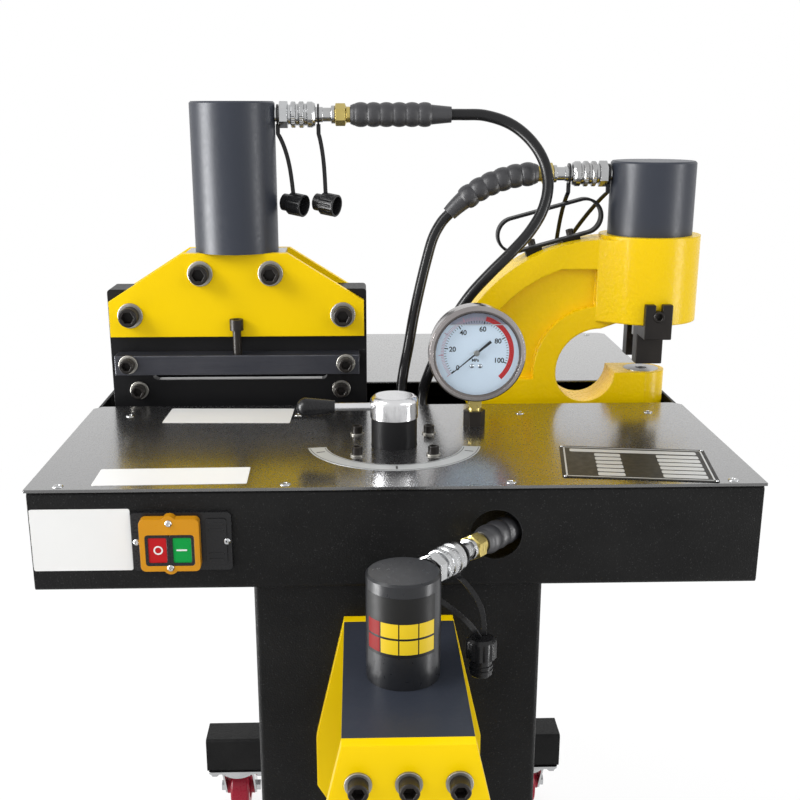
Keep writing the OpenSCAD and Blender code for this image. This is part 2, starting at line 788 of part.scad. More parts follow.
// Ribbed rubber sleeves: straight on the cutter and bender hoses, bent down on the punch hose
module hose_sleeves() {
    rib_step = (sleeve_arc - 11) / (sleeve_ribs - 1);
    color(rubber) {
        translate(cutter_port) translate([coupler_len + nut_len, 0, 0]) straight_sleeve();
        translate([0, bender_y, hose_hole_z]) rotate([0, 0, bender_turn])
            translate([bender_port_r + coupler_len + nut_len, 0, 0]) straight_sleeve();
        translate(sleeve_start - [0, 0, sleeve_arc_r]) rotate([90, -90, 0]) {
            rotate_extrude(angle = sleeve_arc) translate([sleeve_arc_r, 0]) circle(d = sleeve_d);
            for (i = [0 : sleeve_ribs - 1])
                rotate([0, 0, 3 + i * rib_step]) translate([sleeve_arc_r, 0, 0])
                    rotate([90, 0, 0]) sleeve_rib();
        }
    }
}

// Flat strap between two points, lying in an upright plane
module strap(a, b) {
    run = b - a;
    flat = norm([run[0], run[1]]);
    translate(a) rotate([0, 0, atan2(run[1], run[0])]) rotate([0, -atan2(run[2], flat), 0])
        translate([0, -2, -0.8]) cube([norm(run), 4, 1.6]);
}

// Ring that holds a strap round a coupling, along X
module strap_ring(bore) {
    rotate([0, 90, 0]) difference() {
        cylinder(d = bore + 7, h = 2);
        translate([0, 0, -1]) cylinder(d = bore + 2 * bolt_fit, h = 4);
    }
}

// Rubber cup with a plug nose, open along +X
module dust_cap() {
    rotate([0, 90, 0]) rotate_extrude()
        polygon([[0, -15], [8, -15], [10, -13], [10, -4], [13, -4], [13, 15], [10.5, 15], [10.5, 1], [0, 1]]);
}

// A cap pushed into its plug, hanging along -Z
module joined_caps() {
    rotate_extrude() polygon([[0, -38], [9, -38], [11, -36], [11, -20], [14, -19], [14, 0], [0, 0]]);
}

// Dust caps on their straps: two loose ones at the cutter, a joined pair at the bender and the punch
module dust_caps() {
    drop = port_d / 2 + 2;
    color(rubber) {
        translate(cutter_port) {
            for (i = [0, 1]) {
                ring_x = [2, 49][i];
                cap_x = [19, 57][i];
                translate([ring_x, 0, 0]) strap_ring([port_d, 17][i]);
                strap([ring_x + 1, 0, -drop], [cap_x, 0, -89]);
                translate([cap_x, 0, -101]) dust_cap();
            }
        }
        translate(punch_port) {
            for (i = [0, 1]) translate([[-4, -51][i], 0, 0]) strap_ring([port_d, 17][i]);
            strap([-3, 0, -drop], [-3, 0, -2 * drop]);
            strap([-3, 0, -2 * drop], [-47, arm_t / 2 + 22, -96]);
            strap([-50, 0, -drop], [-53, arm_t / 2 + 20, -96]);
            translate([-50, arm_t / 2 + 21, -95]) joined_caps();
        }
        translate([0, bender_y, hose_hole_z]) rotate([0, 0, bender_turn]) translate([bender_port_r, 0, 0]) {
            for (i = [0, 1]) translate([[2, 49][i], 0, 0]) strap_ring([port_d, 17][i]);
            strap([3, 0, -drop], [3, 0, -2 * drop]);
            strap([3, 0, -2 * drop], [43, -30, -72]);
            strap([50, 0, -drop], [50, -30, -72]);
            translate([46, -30, -72]) joined_caps();
        }
    }
}

// Moves a path to the tool axis, and its points by a share of the move of the hose's start that fades to none
function led(path, move) = [for (i = [0 : len(path) - 1])
    path[i] + [0, tool_y, 0] + move * (1 - i / (len(path) - 1))];
// Point on a smooth curve through the route, between its points i and i + 1
function route_point(p, i, t) =
    let (a = p[max(i - 1, 0)], b = p[i], c = p[i + 1], d = p[min(i + 2, len(p) - 1)])
    0.5 * (2 * b + (c - a) * t + (2 * a - 5 * b + 4 * c - d) * t * t + (3 * b - a - 3 * c + d) * t * t * t);
function curve(p) = [for (i = [0 : len(p) - 2], s = [0 : hose_steps - 1]) route_point(p, i, s / hose_steps),
    p[len(p) - 1]];
function unit(v) = v / norm(v);
function tangent(c, i) = unit(c[min(i + 1, len(c) - 1)] - c[max(i - 1, 0)]);
function across_dir(c, i) = unit(cross(tangent(c, i), abs(tangent(c, i)[1]) > 0.9 ? [1, 0, 0] : [0, 1, 0]));
// Frame direction carried along the curve, so that the tube doesn't twist
function carried(c, i) = i == 0 ? across_dir(c, 0) :
    let (u = carried(c, i - 1), t = tangent(c, i)) unit(u - (u * t) * t);

// Round tube swept along a smooth route
module hose(route) {
    c = curve(route);
    n = len(c);
    ring = [for (i = [0 : n - 1])
        let (u = carried(c, i), v = cross(tangent(c, i), u))
        [for (k = [0 : hose_sides - 1])
            c[i] + hose_d / 2 * (cos(360 * k / hose_sides) * u + sin(360 * k / hose_sides) * v)]];
    points = [for (r = ring, q = r) q];
    walls = [for (i = [0 : n - 2], k = [0 : hose_sides - 1])
        let (m = (k + 1) % hose_sides)
        [i * hose_sides + m, i * hose_sides + k, (i + 1) * hose_sides + k, (i + 1) * hose_sides + m]];
    start = [for (k = [0 : hose_sides - 1]) k];
    finish = [for (k = [hose_sides - 1 : -1 : 0]) (n - 1) * hose_sides + k];
    color(rubber) translate([0, 0, top_z]) polyhedron(points, concat(walls, [start, finish]), convexity = 10);
}

module cutter_hose() {
    hose(cutter_route);
}

module punch_hose() {
    hose(punch_route);
}

// Outside of the casting's arm, jaw and neck, in X and Z above the table
module arm_outline() {
    intersection() {
        translate(arm_c) circle(arm_r, $fn = 128);
        translate([arm_back_x, jaw_z]) square([punch_x - arm_back_x, arm_r - jaw_z]);
    }
    translate([arm_c[0], jaw_z]) square([punch_x - arm_c[0], arm_r - jaw_z]);
}

// Throat of the C, open to the right between the boss and the head
module throat_outline() {
    intersection() {
        translate(throat_c) circle(throat_r);
        translate([throat_c[0] - throat_r, throat_low_c[1]]) square(2 * throat_r);
    }
    translate(throat_low_c) circle(throat_low_r);
    polygon([[throat_low_c[0], boss_z], [punch_x + head_d, boss_z], [punch_x + head_d, head_z0],
        [throat_c[0] + throat_r / 2, head_z0], [throat_c[0], throat_c[1] + throat_r]]);
}

// Sunk panel in each side of the arm, inside an even rim
module pocket_outline() {
    difference() {
        intersection() {
            translate(arm_c) circle(arm_r - rim, $fn = 128);
            translate([arm_back_x + rim, pocket_z])
                square([throat_c[0] + pocket_in - arm_back_x - rim, pocket_h]);
        }
        translate(throat_c) circle(throat_r + rim);
    }
}

// Neck that widens from the arm to the round head
module punch_neck() {
    neck_half = sqrt(pow(head_d / 2, 2) - pow(neck_in, 2));
    translate([punch_x, tool_y, head_z0]) linear_extrude(arm_r - head_z0)
        polygon([
            [-neck_reach, -arm_t / 2], [-neck_in, -neck_half],
            [-neck_in, neck_half], [-neck_reach, arm_t / 2],
        ]);
}

// C-shaped casting with a round head, a die boss and sunk side panels
module punch_frame() {
    color(yellow) translate([0, 0, top_z]) difference() {
        union() {
            difference() {
                front_profile(arm_y0, arm_t) difference() {
                    arm_outline();
                    throat_outline();
                }
                for (y = [arm_y0 - 1, arm_y0 + arm_t - pocket_depth])
                    front_profile(y, pocket_depth + 1) pocket_outline();
            }
            translate([punch_x, tool_y, head_z0]) cylinder(d = head_d, h = head_z1 - head_z0);
            punch_neck();
            translate([punch_x, tool_y, jaw_z]) cylinder(d = boss_d, h = boss_z - jaw_z);
        }
        translate([punch_x, tool_y, head_z0 - 1]) cylinder(d = punch_ram_d + 2 * shaft_fit, h = head_z1);
        translate([punch_x, tool_y, boss_z - die_h]) cylinder(d = die_d + 2 * shaft_fit, h = die_h + 1);
        translate([punch_x, tool_y, jaw_z - 1]) cylinder(d = slug_d, h = boss_z - jaw_z);
    }
}

module punch_cylinder() {
    h = punch_cyl_top - head_z1;
    color(dark_steel) translate([punch_x, tool_y, top_z + head_z1])
        tool_cylinder(punch_cyl_d, h, punch_ram_d, punch_ram_top - head_z1 + 2, h - 15, 180);
}

// Ram with a stepped nose that holds the punch tool
module punch_ram() {
    nose_z = tool_z + 26;
    color(zinc) translate([punch_x, tool_y, top_z]) {
        translate([0, 0, head_z0]) cylinder(d = punch_ram_d, h = punch_ram_top - head_z0);
        translate([0, 0, nose_z]) cylinder(d = holder_d, h = head_z0 - nose_z);
    }
}

module punch_tool() {
    color(zinc) translate([punch_x, tool_y, top_z + tool_z]) {
        cylinder(d = tool_d, h = 26);
        translate([0, 0, 14]) cylinder(d = holder_d - 4, h = 12);
    }
}

// Round die, let into the boss
module punch_die() {
    color(zinc) translate([punch_x, tool_y, top_z + boss_z - die_h]) difference() {
        cylinder(d = die_d, h = die_h + die_lip);
        translate([0, 0, -1]) cylinder(d = tool_d + 0.8, h = die_h + 4);
    }
}

// Front or rear stripper: slotted tab on the head, foot below it, and a leg down beside the punch
module stripper(side) {
    tab_y = head_d / 2;
    foot_z = stripper_top - stripper_tab;
    slot = 8;
    translate([punch_x, tool_y, top_z]) mirror([0, side > 0 ? 1 : 0, 0]) {
        difference() {
            translate([-stripper_w / 2, -tab_y - stripper_t, foot_z])
                cube([stripper_w, stripper_t, stripper_top - foot_z]);
            translate([-slot / 2, -tab_y - stripper_t - 1, stripper_top - 14])
                cube([slot, stripper_t + 2, 15]);
            translate([0, -tab_y - stripper_t - 1, stripper_top - 14]) rotate([-90, 0, 0])
                cylinder(d = slot, h = stripper_t + 2);
        }
        translate([-stripper_w / 2, -tab_y - stripper_t, foot_z])
            cube([stripper_w, tab_y + stripper_t - stripper_in, head_z0 - slide_gap - foot_z]);
        translate([-stripper_w / 2, -stripper_in - stripper_leg, stripper_z])
            cube([stripper_w, stripper_leg, foot_z - stripper_z + 1]);
    }
}

module punch_strippers() {
    color(dark_steel) for (side = [-1, 1]) stripper(side);
}

// Outline of the handle's loop at a given radius
module loop_outline(r) {
    square([2 * handle_half, 2 * r], center = true);
    for (side = [-1, 1]) translate([side * handle_half, 0]) circle(r);
}

// Flat strip bent to a loop, on two feet that follow the arm
module punch_handle() {
    foot = [20, 14];
    color(rubber) translate([0, tool_y, top_z]) {
        translate([handle_c[0], 0, handle_c[1]]) rotate([0, -handle_tilt, 0])
            front_profile(-handle_w / 2, handle_w) difference() {
                loop_outline(handle_r + handle_t / 2);
                loop_outline(handle_r - handle_t / 2);
            }
        difference() {
            translate([handle_c[0], 0, handle_c[1]]) rotate([0, -handle_tilt, 0])
                for (x = handle_foot_x)
                    translate([x - foot[0] / 2, -foot[1] / 2, -handle_r - 12]) cube([foot[0], foot[1], 13]);
            translate([0, arm_t, 0]) rotate([90, 0, 0]) linear_extrude(2 * arm_t)
                translate(arm_c) circle(arm_r, $fn = 128);
        }
    }
}

// Outline of a bender side plate
module bender_outline() {
    polygon([[-bender_top_half, bender_z], [bender_top_half, bender_z], [bender_wide_half, bender_wide_z],
        [bender_wide_half, bender_turn_z], [bender_foot_half, bender_foot_z],
        [-bender_foot_half, bender_foot_z],
        [-bender_wide_half, bender_turn_z], [-bender_wide_half, bender_wide_z]]);
}

// Front and rear side plates, the front one drilled for its screws
module bender_plates() {
    color(yellow) {
        front_profile(bender_rear_y, bender_plate_t) bender_outline();
        difference() {
            front_profile(bender_front_y - bender_plate_t, bender_plate_t) bender_outline();
            for (i = [-1 : 1])
                translate([i * bender_bolt_x, bender_front_y - bender_plate_t - 1, bender_bolt_z])
                    rotate([-90, 0, 0]) cylinder(d = small_bolt + 2 * bolt_fit, h = bender_plate_t + 2);
            for (side = [-1, 1])
                translate([side * die_bolt_x, bender_front_y - bender_plate_t - 1, die_bolt_z])
                    rotate([-90, 0, 0]) cylinder(d = small_bolt + 2 * bolt_fit, h = bender_plate_t + 2);
        }
    }
}

module bender_block() {
    color(dark_steel) difference() {
        translate([-bender_top_half, bender_front_y, bender_z - bender_block_h])
            cube([2 * bender_top_half, bender_gap, bender_block_h]);
        translate([0, bender_y, bender_z - bender_block_h - 1])
            cylinder(d = ram_d + 2 * shaft_fit, h = bender_block_h + 2);
    }
}

module bender_cylinder() {
    color(dark_steel) translate([0, bender_y, bender_z])
        tool_cylinder(bender_cyl_d, bender_cyl_h, ram_d, bender_ram_top - bender_z + 2, hose_hole_z - bender_z,
            bender_turn);
}

module bender_ram() {
    color(zinc) translate([0, bender_y, bender_ram_z]) cylinder(d = ram_d, h = bender_ram_top - bender_ram_z);
}

// Bending blade with a blunt nose
module bender_punch() {
    color(dark_steel) front_profile(bender_y - bender_tool_len / 2, bender_tool_len)
        polygon([[-25, bender_ram_z], [-25, bender_tip_z + 30], [-6, bender_tip_z], [6, bender_tip_z],
            [25, bender_tip_z + 30], [25, bender_ram_z]]);
}

// Die block with a V groove, held between the side plates
module bender_die() {
    color(dark_steel) front_profile(bender_front_y, bender_gap)
        polygon([[-die_block_half, bender_foot_z + 3], [die_block_half, bender_foot_z + 3],
            [die_block_half, die_block_top], [die_groove, die_block_top], [0, die_block_top - die_groove],
            [-die_groove, die_block_top], [-die_block_half, die_block_top]]);
}

// Black hub of the selector valve, through the cover, bored for the cap's spigot
module valve_hub() {
    color(black_paint) translate([0, valve_y, tray_top]) difference() {
        cylinder(d = hub_d, h = cover_t + hub_h);
        translate([0, 0, cover_t + 8]) cylinder(d = spigot_d + 2 * shaft_fit, h = hub_h);
    }
}

// Turned cap with a domed edge, a spigot, the lever's seat and a cross hole
module valve_cap() {
    cap_r = hub_d / 2 + 1;
    edge_r = 6;
    base = hub_h + slide_gap;
    color(zinc) translate([0, valve_y, top_z]) difference() {
        union() {
            translate([0, 0, hub_h - 18]) cylinder(d = spigot_d, h = 20);
            translate([0, 0, base]) rotate_extrude() {
                square([cap_r - edge_r, cap_h]);
                square([cap_r, cap_h - edge_r]);
                intersection() {
                    translate([cap_r - edge_r, cap_h - edge_r]) circle(edge_r);
                    square([cap_r, cap_h]);
                }
            }
        }
        translate([-cap_r - 1, 0, lever_z - top_z]) rotate([0, 90, 0])
            cylinder(d = lever_rod_d, h = lever_seat + 1);
        translate([cap_r - 8, 0, lever_z - top_z]) rotate([0, 90, 0]) cylinder(d = 7, h = 10);
    }
}

module lever_rod() {
    seat_x = -hub_d / 2 - 1 + lever_seat;
    color(zinc) translate([-lever_reach + 12, valve_y, lever_z]) rotate([0, 90, 0])
        cylinder(d = lever_rod_d, h = seat_x + lever_reach - 12);
}

// Tapered grip with a round end, bored for the rod
module lever_grip() {
    end_r = 10;
    grip_len = lever_reach - grip_start;
    color(rubber) translate([-lever_reach, valve_y, lever_z]) rotate([0, 90, 0]) difference() {
        rotate_extrude() {
            intersection() {
                translate([0, end_r]) circle(end_r);
                square(2 * end_r);
            }
            polygon([[0, end_r], [end_r, end_r], [7, grip_len], [0, grip_len]]);
        }
        translate([0, 0, 12]) cylinder(d = lever_rod_d, h = grip_len);
    }
}

// Turns a shape revolved about Z so that it faces forward at the gauge's centre
module at_gauge() {
    translate([gauge_x, gauge_front, top_z + gauge_z]) rotate([-90, 0, 0]) children();
}

// Case with a wide bezel and a recess for the dial
module gauge_case() {
    outer = gauge_d / 2;
    inner = outer - bezel_w;
    color(zinc) at_gauge() rotate_extrude()
        polygon([[inner, 0], [outer - 1.5, 0], [outer, 2], [outer, bezel_t], [outer - 3, bezel_t],
            [outer - 3, gauge_depth], [0, gauge_depth], [0, gauge_recess], [inner, gauge_recess]]);
}

module gauge_dial() {
    color("white") at_gauge() translate([0, 0, gauge_recess - 1]) difference() {
        cylinder(d = gauge_d - 2 * bezel_w - 0.2, h = 1);
        translate([0, 0, -1]) cylinder(d = 3 + 2 * shaft_fit, h = 3);
    }
}

// Pointer on its spindle, at the zero of the scale
module gauge_needle() {
    color("black") at_gauge() rotate([0, 0, needle_turn]) {
        translate([0, 0, 6.5]) linear_extrude(1)
            polygon([[-2, 10], [2, 10], [0.6, -needle_len], [-0.6, -needle_len]]);
        translate([0, 0, 6]) cylinder(d = 9, h = 3);
        translate([0, 0, 9]) cylinder(d = 3, h = 3);
    }
}

module gauge_glass() {
    color("lightblue", 0.3) at_gauge() translate([0, 0, 1.5]) cylinder(d = gauge_d - 2 * bezel_w - 0.2, h = 3);
}

// Brass stem: a square wrench part between two collars
module gauge_stem() {
    stem_z = top_z + fitting_h;
    stem_h = gauge_z - gauge_d / 2 + 4 - fitting_h;
    color(brass) translate([gauge_x, gauge_y, stem_z]) difference() {
        union() {
            cylinder(d = 15, h = 4);
            translate([-7, -7, 4]) cube([14, 14, stem_h]);
        }
        translate([0, -gauge_depth, gauge_z - fitting_h]) rotate([-90, 0, 0])
            cylinder(d = gauge_d, h = 2 * gauge_depth);
    }
}

// Black hexagonal fitting with a shank through the cover
module gauge_fitting() {
    color(black_paint) translate([gauge_x, gauge_y, top_z]) {
        hex_bar(21, fitting_h);
        translate([0, 0, -25]) cylinder(d = 14, h = 26);
    }
}

// Black switch plate with windows for the two buttons
module switch_base() {
    color(rubber) difference() {
        front_profile(apron_y - switch_base_t, switch_base_t) translate([switch_x, switch_z])
            rounded_rect(switch_w, switch_h, 4);
        switch_windows(apron_y - switch_base_t, switch_base_t);
    }
}

// Button openings through a plate that starts at y
module switch_windows(y, depth) {
    for (side = [-1, 1])
        front_profile(y - 1, depth + 2) translate([switch_frame_x + side * button_pitch / 2, button_z])
            square([button_size[0] + 2 * slide_gap, button_size[1] + 2 * slide_gap], center = true);
}

// Orange frame with a screw lug at its top and bottom
module switch_frame() {
    y = apron_y - switch_base_t - switch_frame_size[2];
    color("#F0A01C") difference() {
        front_profile(y, switch_frame_size[2]) translate([switch_frame_x, switch_z]) {
            rounded_rect(switch_frame_size[0], switch_frame_size[1], 5);
            for (side = [-1, 1]) translate([0, side * (switch_frame_size[1] / 2 - 4)]) circle(7);
        }
        front_profile(y - 1, switch_frame_size[2] + 2) translate([switch_frame_x, button_z])
            rounded_rect(button_pitch + button_size[0] + 4, button_size[1] + 4, 3);
    }
}

// Push button, a rounded block that slides in its window
module button(side) {
    y = apron_y - switch_base_t - switch_frame_size[2] + 1;
    front_profile(y, button_depth) translate([switch_frame_x + side * button_pitch / 2, button_z])
        rounded_rect(button_size[0], button_size[1], 1.5);
}

module stop_button() {
    color("red") button(-1);
}

module start_button() {
    color("green") button(1);
}

table_tray();
front_cover();
rear_cover();
cabinet();
legs();
oil_tank();
pump_motor();
valve_block();
caster_plates();
fork(CORNERS[0]);  // front_left_fork
fork(CORNERS[1]);  // front_right_fork
fork(CORNERS[2]);  // rear_left_fork
fork(CORNERS[3]);  // rear_right_fork
wheel(CORNERS[0]);  // front_left_wheel
wheel(CORNERS[1]);  // front_right_wheel
wheel(CORNERS[2]);  // rear_left_wheel
wheel(CORNERS[3]);  // rear_right_wheel
cutter_body();
cutter_plates();
cutter_head_block();
cutter_cylinder();
cutter_ram();
cutter_blade();
cutter_lower_blade();
cutter_clamp_bar();
cutter_clamp_screw();
plate_bolts();
quick_couplers();
hose_nuts();
hose_sleeves();
dust_caps();
cutter_hose();
punch_hose();
punch_frame();
punch_cylinder();
punch_ram();
punch_tool();
punch_die();
punch_strippers();
punch_handle();
bender_plates();
bender_block();
bender_cylinder();
bender_ram();
bender_punch();
bender_die();
valve_hub();
valve_cap();
lever_rod();
lever_grip();
gauge_case();
gauge_dial();
gauge_needle();
gauge_glass();
gauge_stem();
gauge_fitting();
switch_base();
switch_frame();
stop_button();
start_button();
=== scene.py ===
"""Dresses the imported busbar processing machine: finishes, fasteners, hoses, dial and bare labels."""

from __future__ import annotations

import json
import logging
import math
from dataclasses import dataclass, field, replace
from enum import Enum
from typing import Sequence

import bmesh
import bpy
from mathutils import Matrix, Vector

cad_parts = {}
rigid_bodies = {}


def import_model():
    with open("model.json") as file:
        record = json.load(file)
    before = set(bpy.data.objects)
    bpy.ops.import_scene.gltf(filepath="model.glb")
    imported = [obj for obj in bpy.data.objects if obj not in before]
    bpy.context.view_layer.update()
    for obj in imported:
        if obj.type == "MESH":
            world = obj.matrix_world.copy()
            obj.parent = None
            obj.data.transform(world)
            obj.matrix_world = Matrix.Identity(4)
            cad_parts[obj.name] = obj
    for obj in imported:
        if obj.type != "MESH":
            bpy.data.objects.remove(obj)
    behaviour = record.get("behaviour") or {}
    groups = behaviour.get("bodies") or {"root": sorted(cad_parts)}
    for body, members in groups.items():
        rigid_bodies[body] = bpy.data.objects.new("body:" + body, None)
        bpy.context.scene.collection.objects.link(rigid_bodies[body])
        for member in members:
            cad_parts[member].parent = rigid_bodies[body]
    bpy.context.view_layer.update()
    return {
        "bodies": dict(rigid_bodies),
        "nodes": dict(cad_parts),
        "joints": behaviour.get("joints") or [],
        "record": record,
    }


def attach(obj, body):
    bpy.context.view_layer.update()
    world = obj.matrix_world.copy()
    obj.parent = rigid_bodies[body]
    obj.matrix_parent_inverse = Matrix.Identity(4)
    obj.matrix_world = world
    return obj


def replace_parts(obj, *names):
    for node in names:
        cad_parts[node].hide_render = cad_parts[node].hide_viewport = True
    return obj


LOG = logging.getLogger("busbar_machine")
ROOT = "machine"
TABLE_TOP = 0.845
TOOL_Y = -0.015
CUTTER_X = -0.180
PUNCH_X = 0.313
BENDER_Y = -0.4805
BENDER_RADIUS = 0.0325
BENDER_FRONT = -0.597
CUTTER_FRONT = -0.049
CUTTER_BACK = 0.019
VALVE_PLACE = (0.0, -0.231)
APRON_Y = -0.368
SWITCH_X = -0.215
SWITCH_Z = TABLE_TOP - 0.052
SHARP_ANGLE = 32.0
COAT_INDEX = 1.75
Colour = tuple[float, float, float]


def into_scene(obj: bpy.types.Object) -> bpy.types.Object:
    """Links an object to the scene and gives it back."""
    bpy.context.scene.collection.objects.link(obj)
    return obj


def plain_mesh(holder: bpy.types.Object, name: str) -> bpy.types.Mesh:
    """Makes a plain mesh of an object as its modifiers leave it.

    Args:
        holder: The object, which is used up.
        name: Name of the mesh.

    Returns:
        The mesh.
    """
    mesh = bpy.data.meshes.new_from_object(holder.evaluated_get(bpy.context.evaluated_depsgraph_get()))
    mesh.name = name
    bpy.data.objects.remove(holder)
    return mesh


def drawn(made: bmesh.types.BMesh, name: str) -> bpy.types.Mesh:
    """Turns a bmesh into a mesh.

    Args:
        made: The bmesh, which is used up.
        name: Name of the mesh.

    Returns:
        The mesh.
    """
    mesh = bpy.data.meshes.new(name)
    made.to_mesh(mesh)
    made.free()
    return mesh


def smoothed(mesh: bpy.types.Mesh, sharp: float) -> bpy.types.Mesh:
    """Shades a mesh smooth.

    Args:
        mesh: The mesh.
        sharp: Angle past which an edge stays sharp, in degrees.

    Returns:
        The same mesh.
    """
    mesh.shade_smooth()
    mesh.set_sharp_from_angle(angle=math.radians(sharp))
    return mesh


def facing_front(x: float, y: float, z: float) -> Matrix:
    """Gives the place of a plane that faces forward.

    Args:
        x: Place sideways.
        y: Place in depth.
        z: Height.

    Returns:
        The place, with the plane's X to the right and its Y up.
    """
    return Matrix.Translation((x, y, z)) @ Matrix.Rotation(math.pi / 2, 4, "X")


def on_table(x: float, y: float, turn: float = 0.0) -> Matrix:
    """Gives the place of a plane that lies on the table.

    Args:
        x: Place sideways.
        y: Place in depth.
        turn: Turn to the left, in degrees.

    Returns:
        The place.
    """
    return Matrix.Translation((x, y, TABLE_TOP)) @ Matrix.Rotation(math.radians(turn), 4, "Z")


def feed(tree: bpy.types.NodeTree, socket: bpy.types.NodeSocket, value: object) -> None:
    """Links an input to its source, or sets it to a plain value.

    Args:
        tree: The tree that holds the input.
        socket: The input.
        value: A source socket or a plain value.
    """
    if isinstance(value, bpy.types.NodeSocket):
        tree.links.new(value, socket)
    else:
        socket.default_value = value


def worked_out(tree: bpy.types.NodeTree, operation: str, first: object, second: object,
               kind: str = "ShaderNodeMath") -> bpy.types.NodeSocket:
    """Adds a node that works out one value from two.

    Args:
        tree: Node tree to add to.
        operation: Name of the operation.
        first: First socket or plain value.
        second: Second socket or plain value.
        kind: Node type.

    Returns:
        The result's socket.
    """
    made = tree.nodes.new(kind)
    made.operation = operation
    feed(tree, made.inputs[0], first)
    feed(tree, made.inputs[1], second)
    return made.outputs["Value"]


def two_surfaces(tree: bpy.types.NodeTree, share: bpy.types.NodeSocket, under: bpy.types.Node,
                 over: bpy.types.Node) -> None:
    """Mixes two shaders on a material's surface.

    Args:
        tree: The material's tree.
        share: Share of the upper shader.
        under: The lower shader.
        over: The upper shader.
    """
    mix = tree.nodes.new("ShaderNodeMixShader")
    for socket, source in zip(mix.inputs, (share, under.outputs[0], over.outputs[0])):
        tree.links.new(source, socket)
    tree.links.new(mix.outputs["Shader"], tree.nodes["Material Output"].inputs["Surface"])


class Grain(Enum):
    """The texture that a finish carries."""

    POWDER = "sprayed powder coat"
    PAINT = "smooth paint"
    CAST = "painted casting"
    BRUSHED = "brushed metal"
    TURNED = "turned metal"
    RUBBER = "rubber"
    MOULDED = "moulded plastic"
    PRINT = "printed film"


class RingShape(Enum):
    """The section of a turned or forged piece."""

    ROUND = "round"
    HEX = "hexagon"
    KNURL = "knurled"
    FLUTE = "fluted"


@dataclass(frozen=True)
class Finish:
    """One surface finish: its colours, gloss, grain, and edge wear with painted edge highlights.

    Attributes:
        name: Material name.
        slot: The record's material slot.
        colour: Main colour, linear.
        tint: Second colour that the grain mixes in.
        grain: Kind of texture.
        metallic: Metal share of the shader.
        rough: Lowest and highest roughness.
        bump: Strength of the grain's relief.
        scale: Grains per metre.
        edge: Radius of the rounded look of sharp edges, in metres, or 0 for none.
        wear: Share of lighter colour along the edges, partly edge wear and partly painted highlight where edges catch
            the light.
        shine: Level of the mirror-like reflection.
        coat: Share of a clear coat.
        relief: Depth of the grain, in metres.
    """

    name: str
    slot: str
    colour: Colour
    tint: Colour
    grain: Grain
    metallic: float = 0.0
    rough: tuple[float, float] = (0.4, 0.5)
    bump: float = 0.1
    scale: float = 400.0
    edge: float = 0.0008
    wear: float = 0.0
    shine: float = 0.5
    coat: float = 0.0
    relief: float = 0.0006

    def material(self) -> bpy.types.Material:
        """Gives the material, made on its first use."""
        return bpy.data.materials.get(self.name) or FinishMaker(self).make()


GRAIN_NOISE: dict[Grain, tuple[float, tuple[float, float, float]]] = {
    Grain.CAST: (5.0, (1.0, 1.0, 1.0)), Grain.BRUSHED: (2.0, (0.04, 1.0, 1.0)), Grain.TURNED: (2.0, (1.0, 1.0, 0.15)),
}


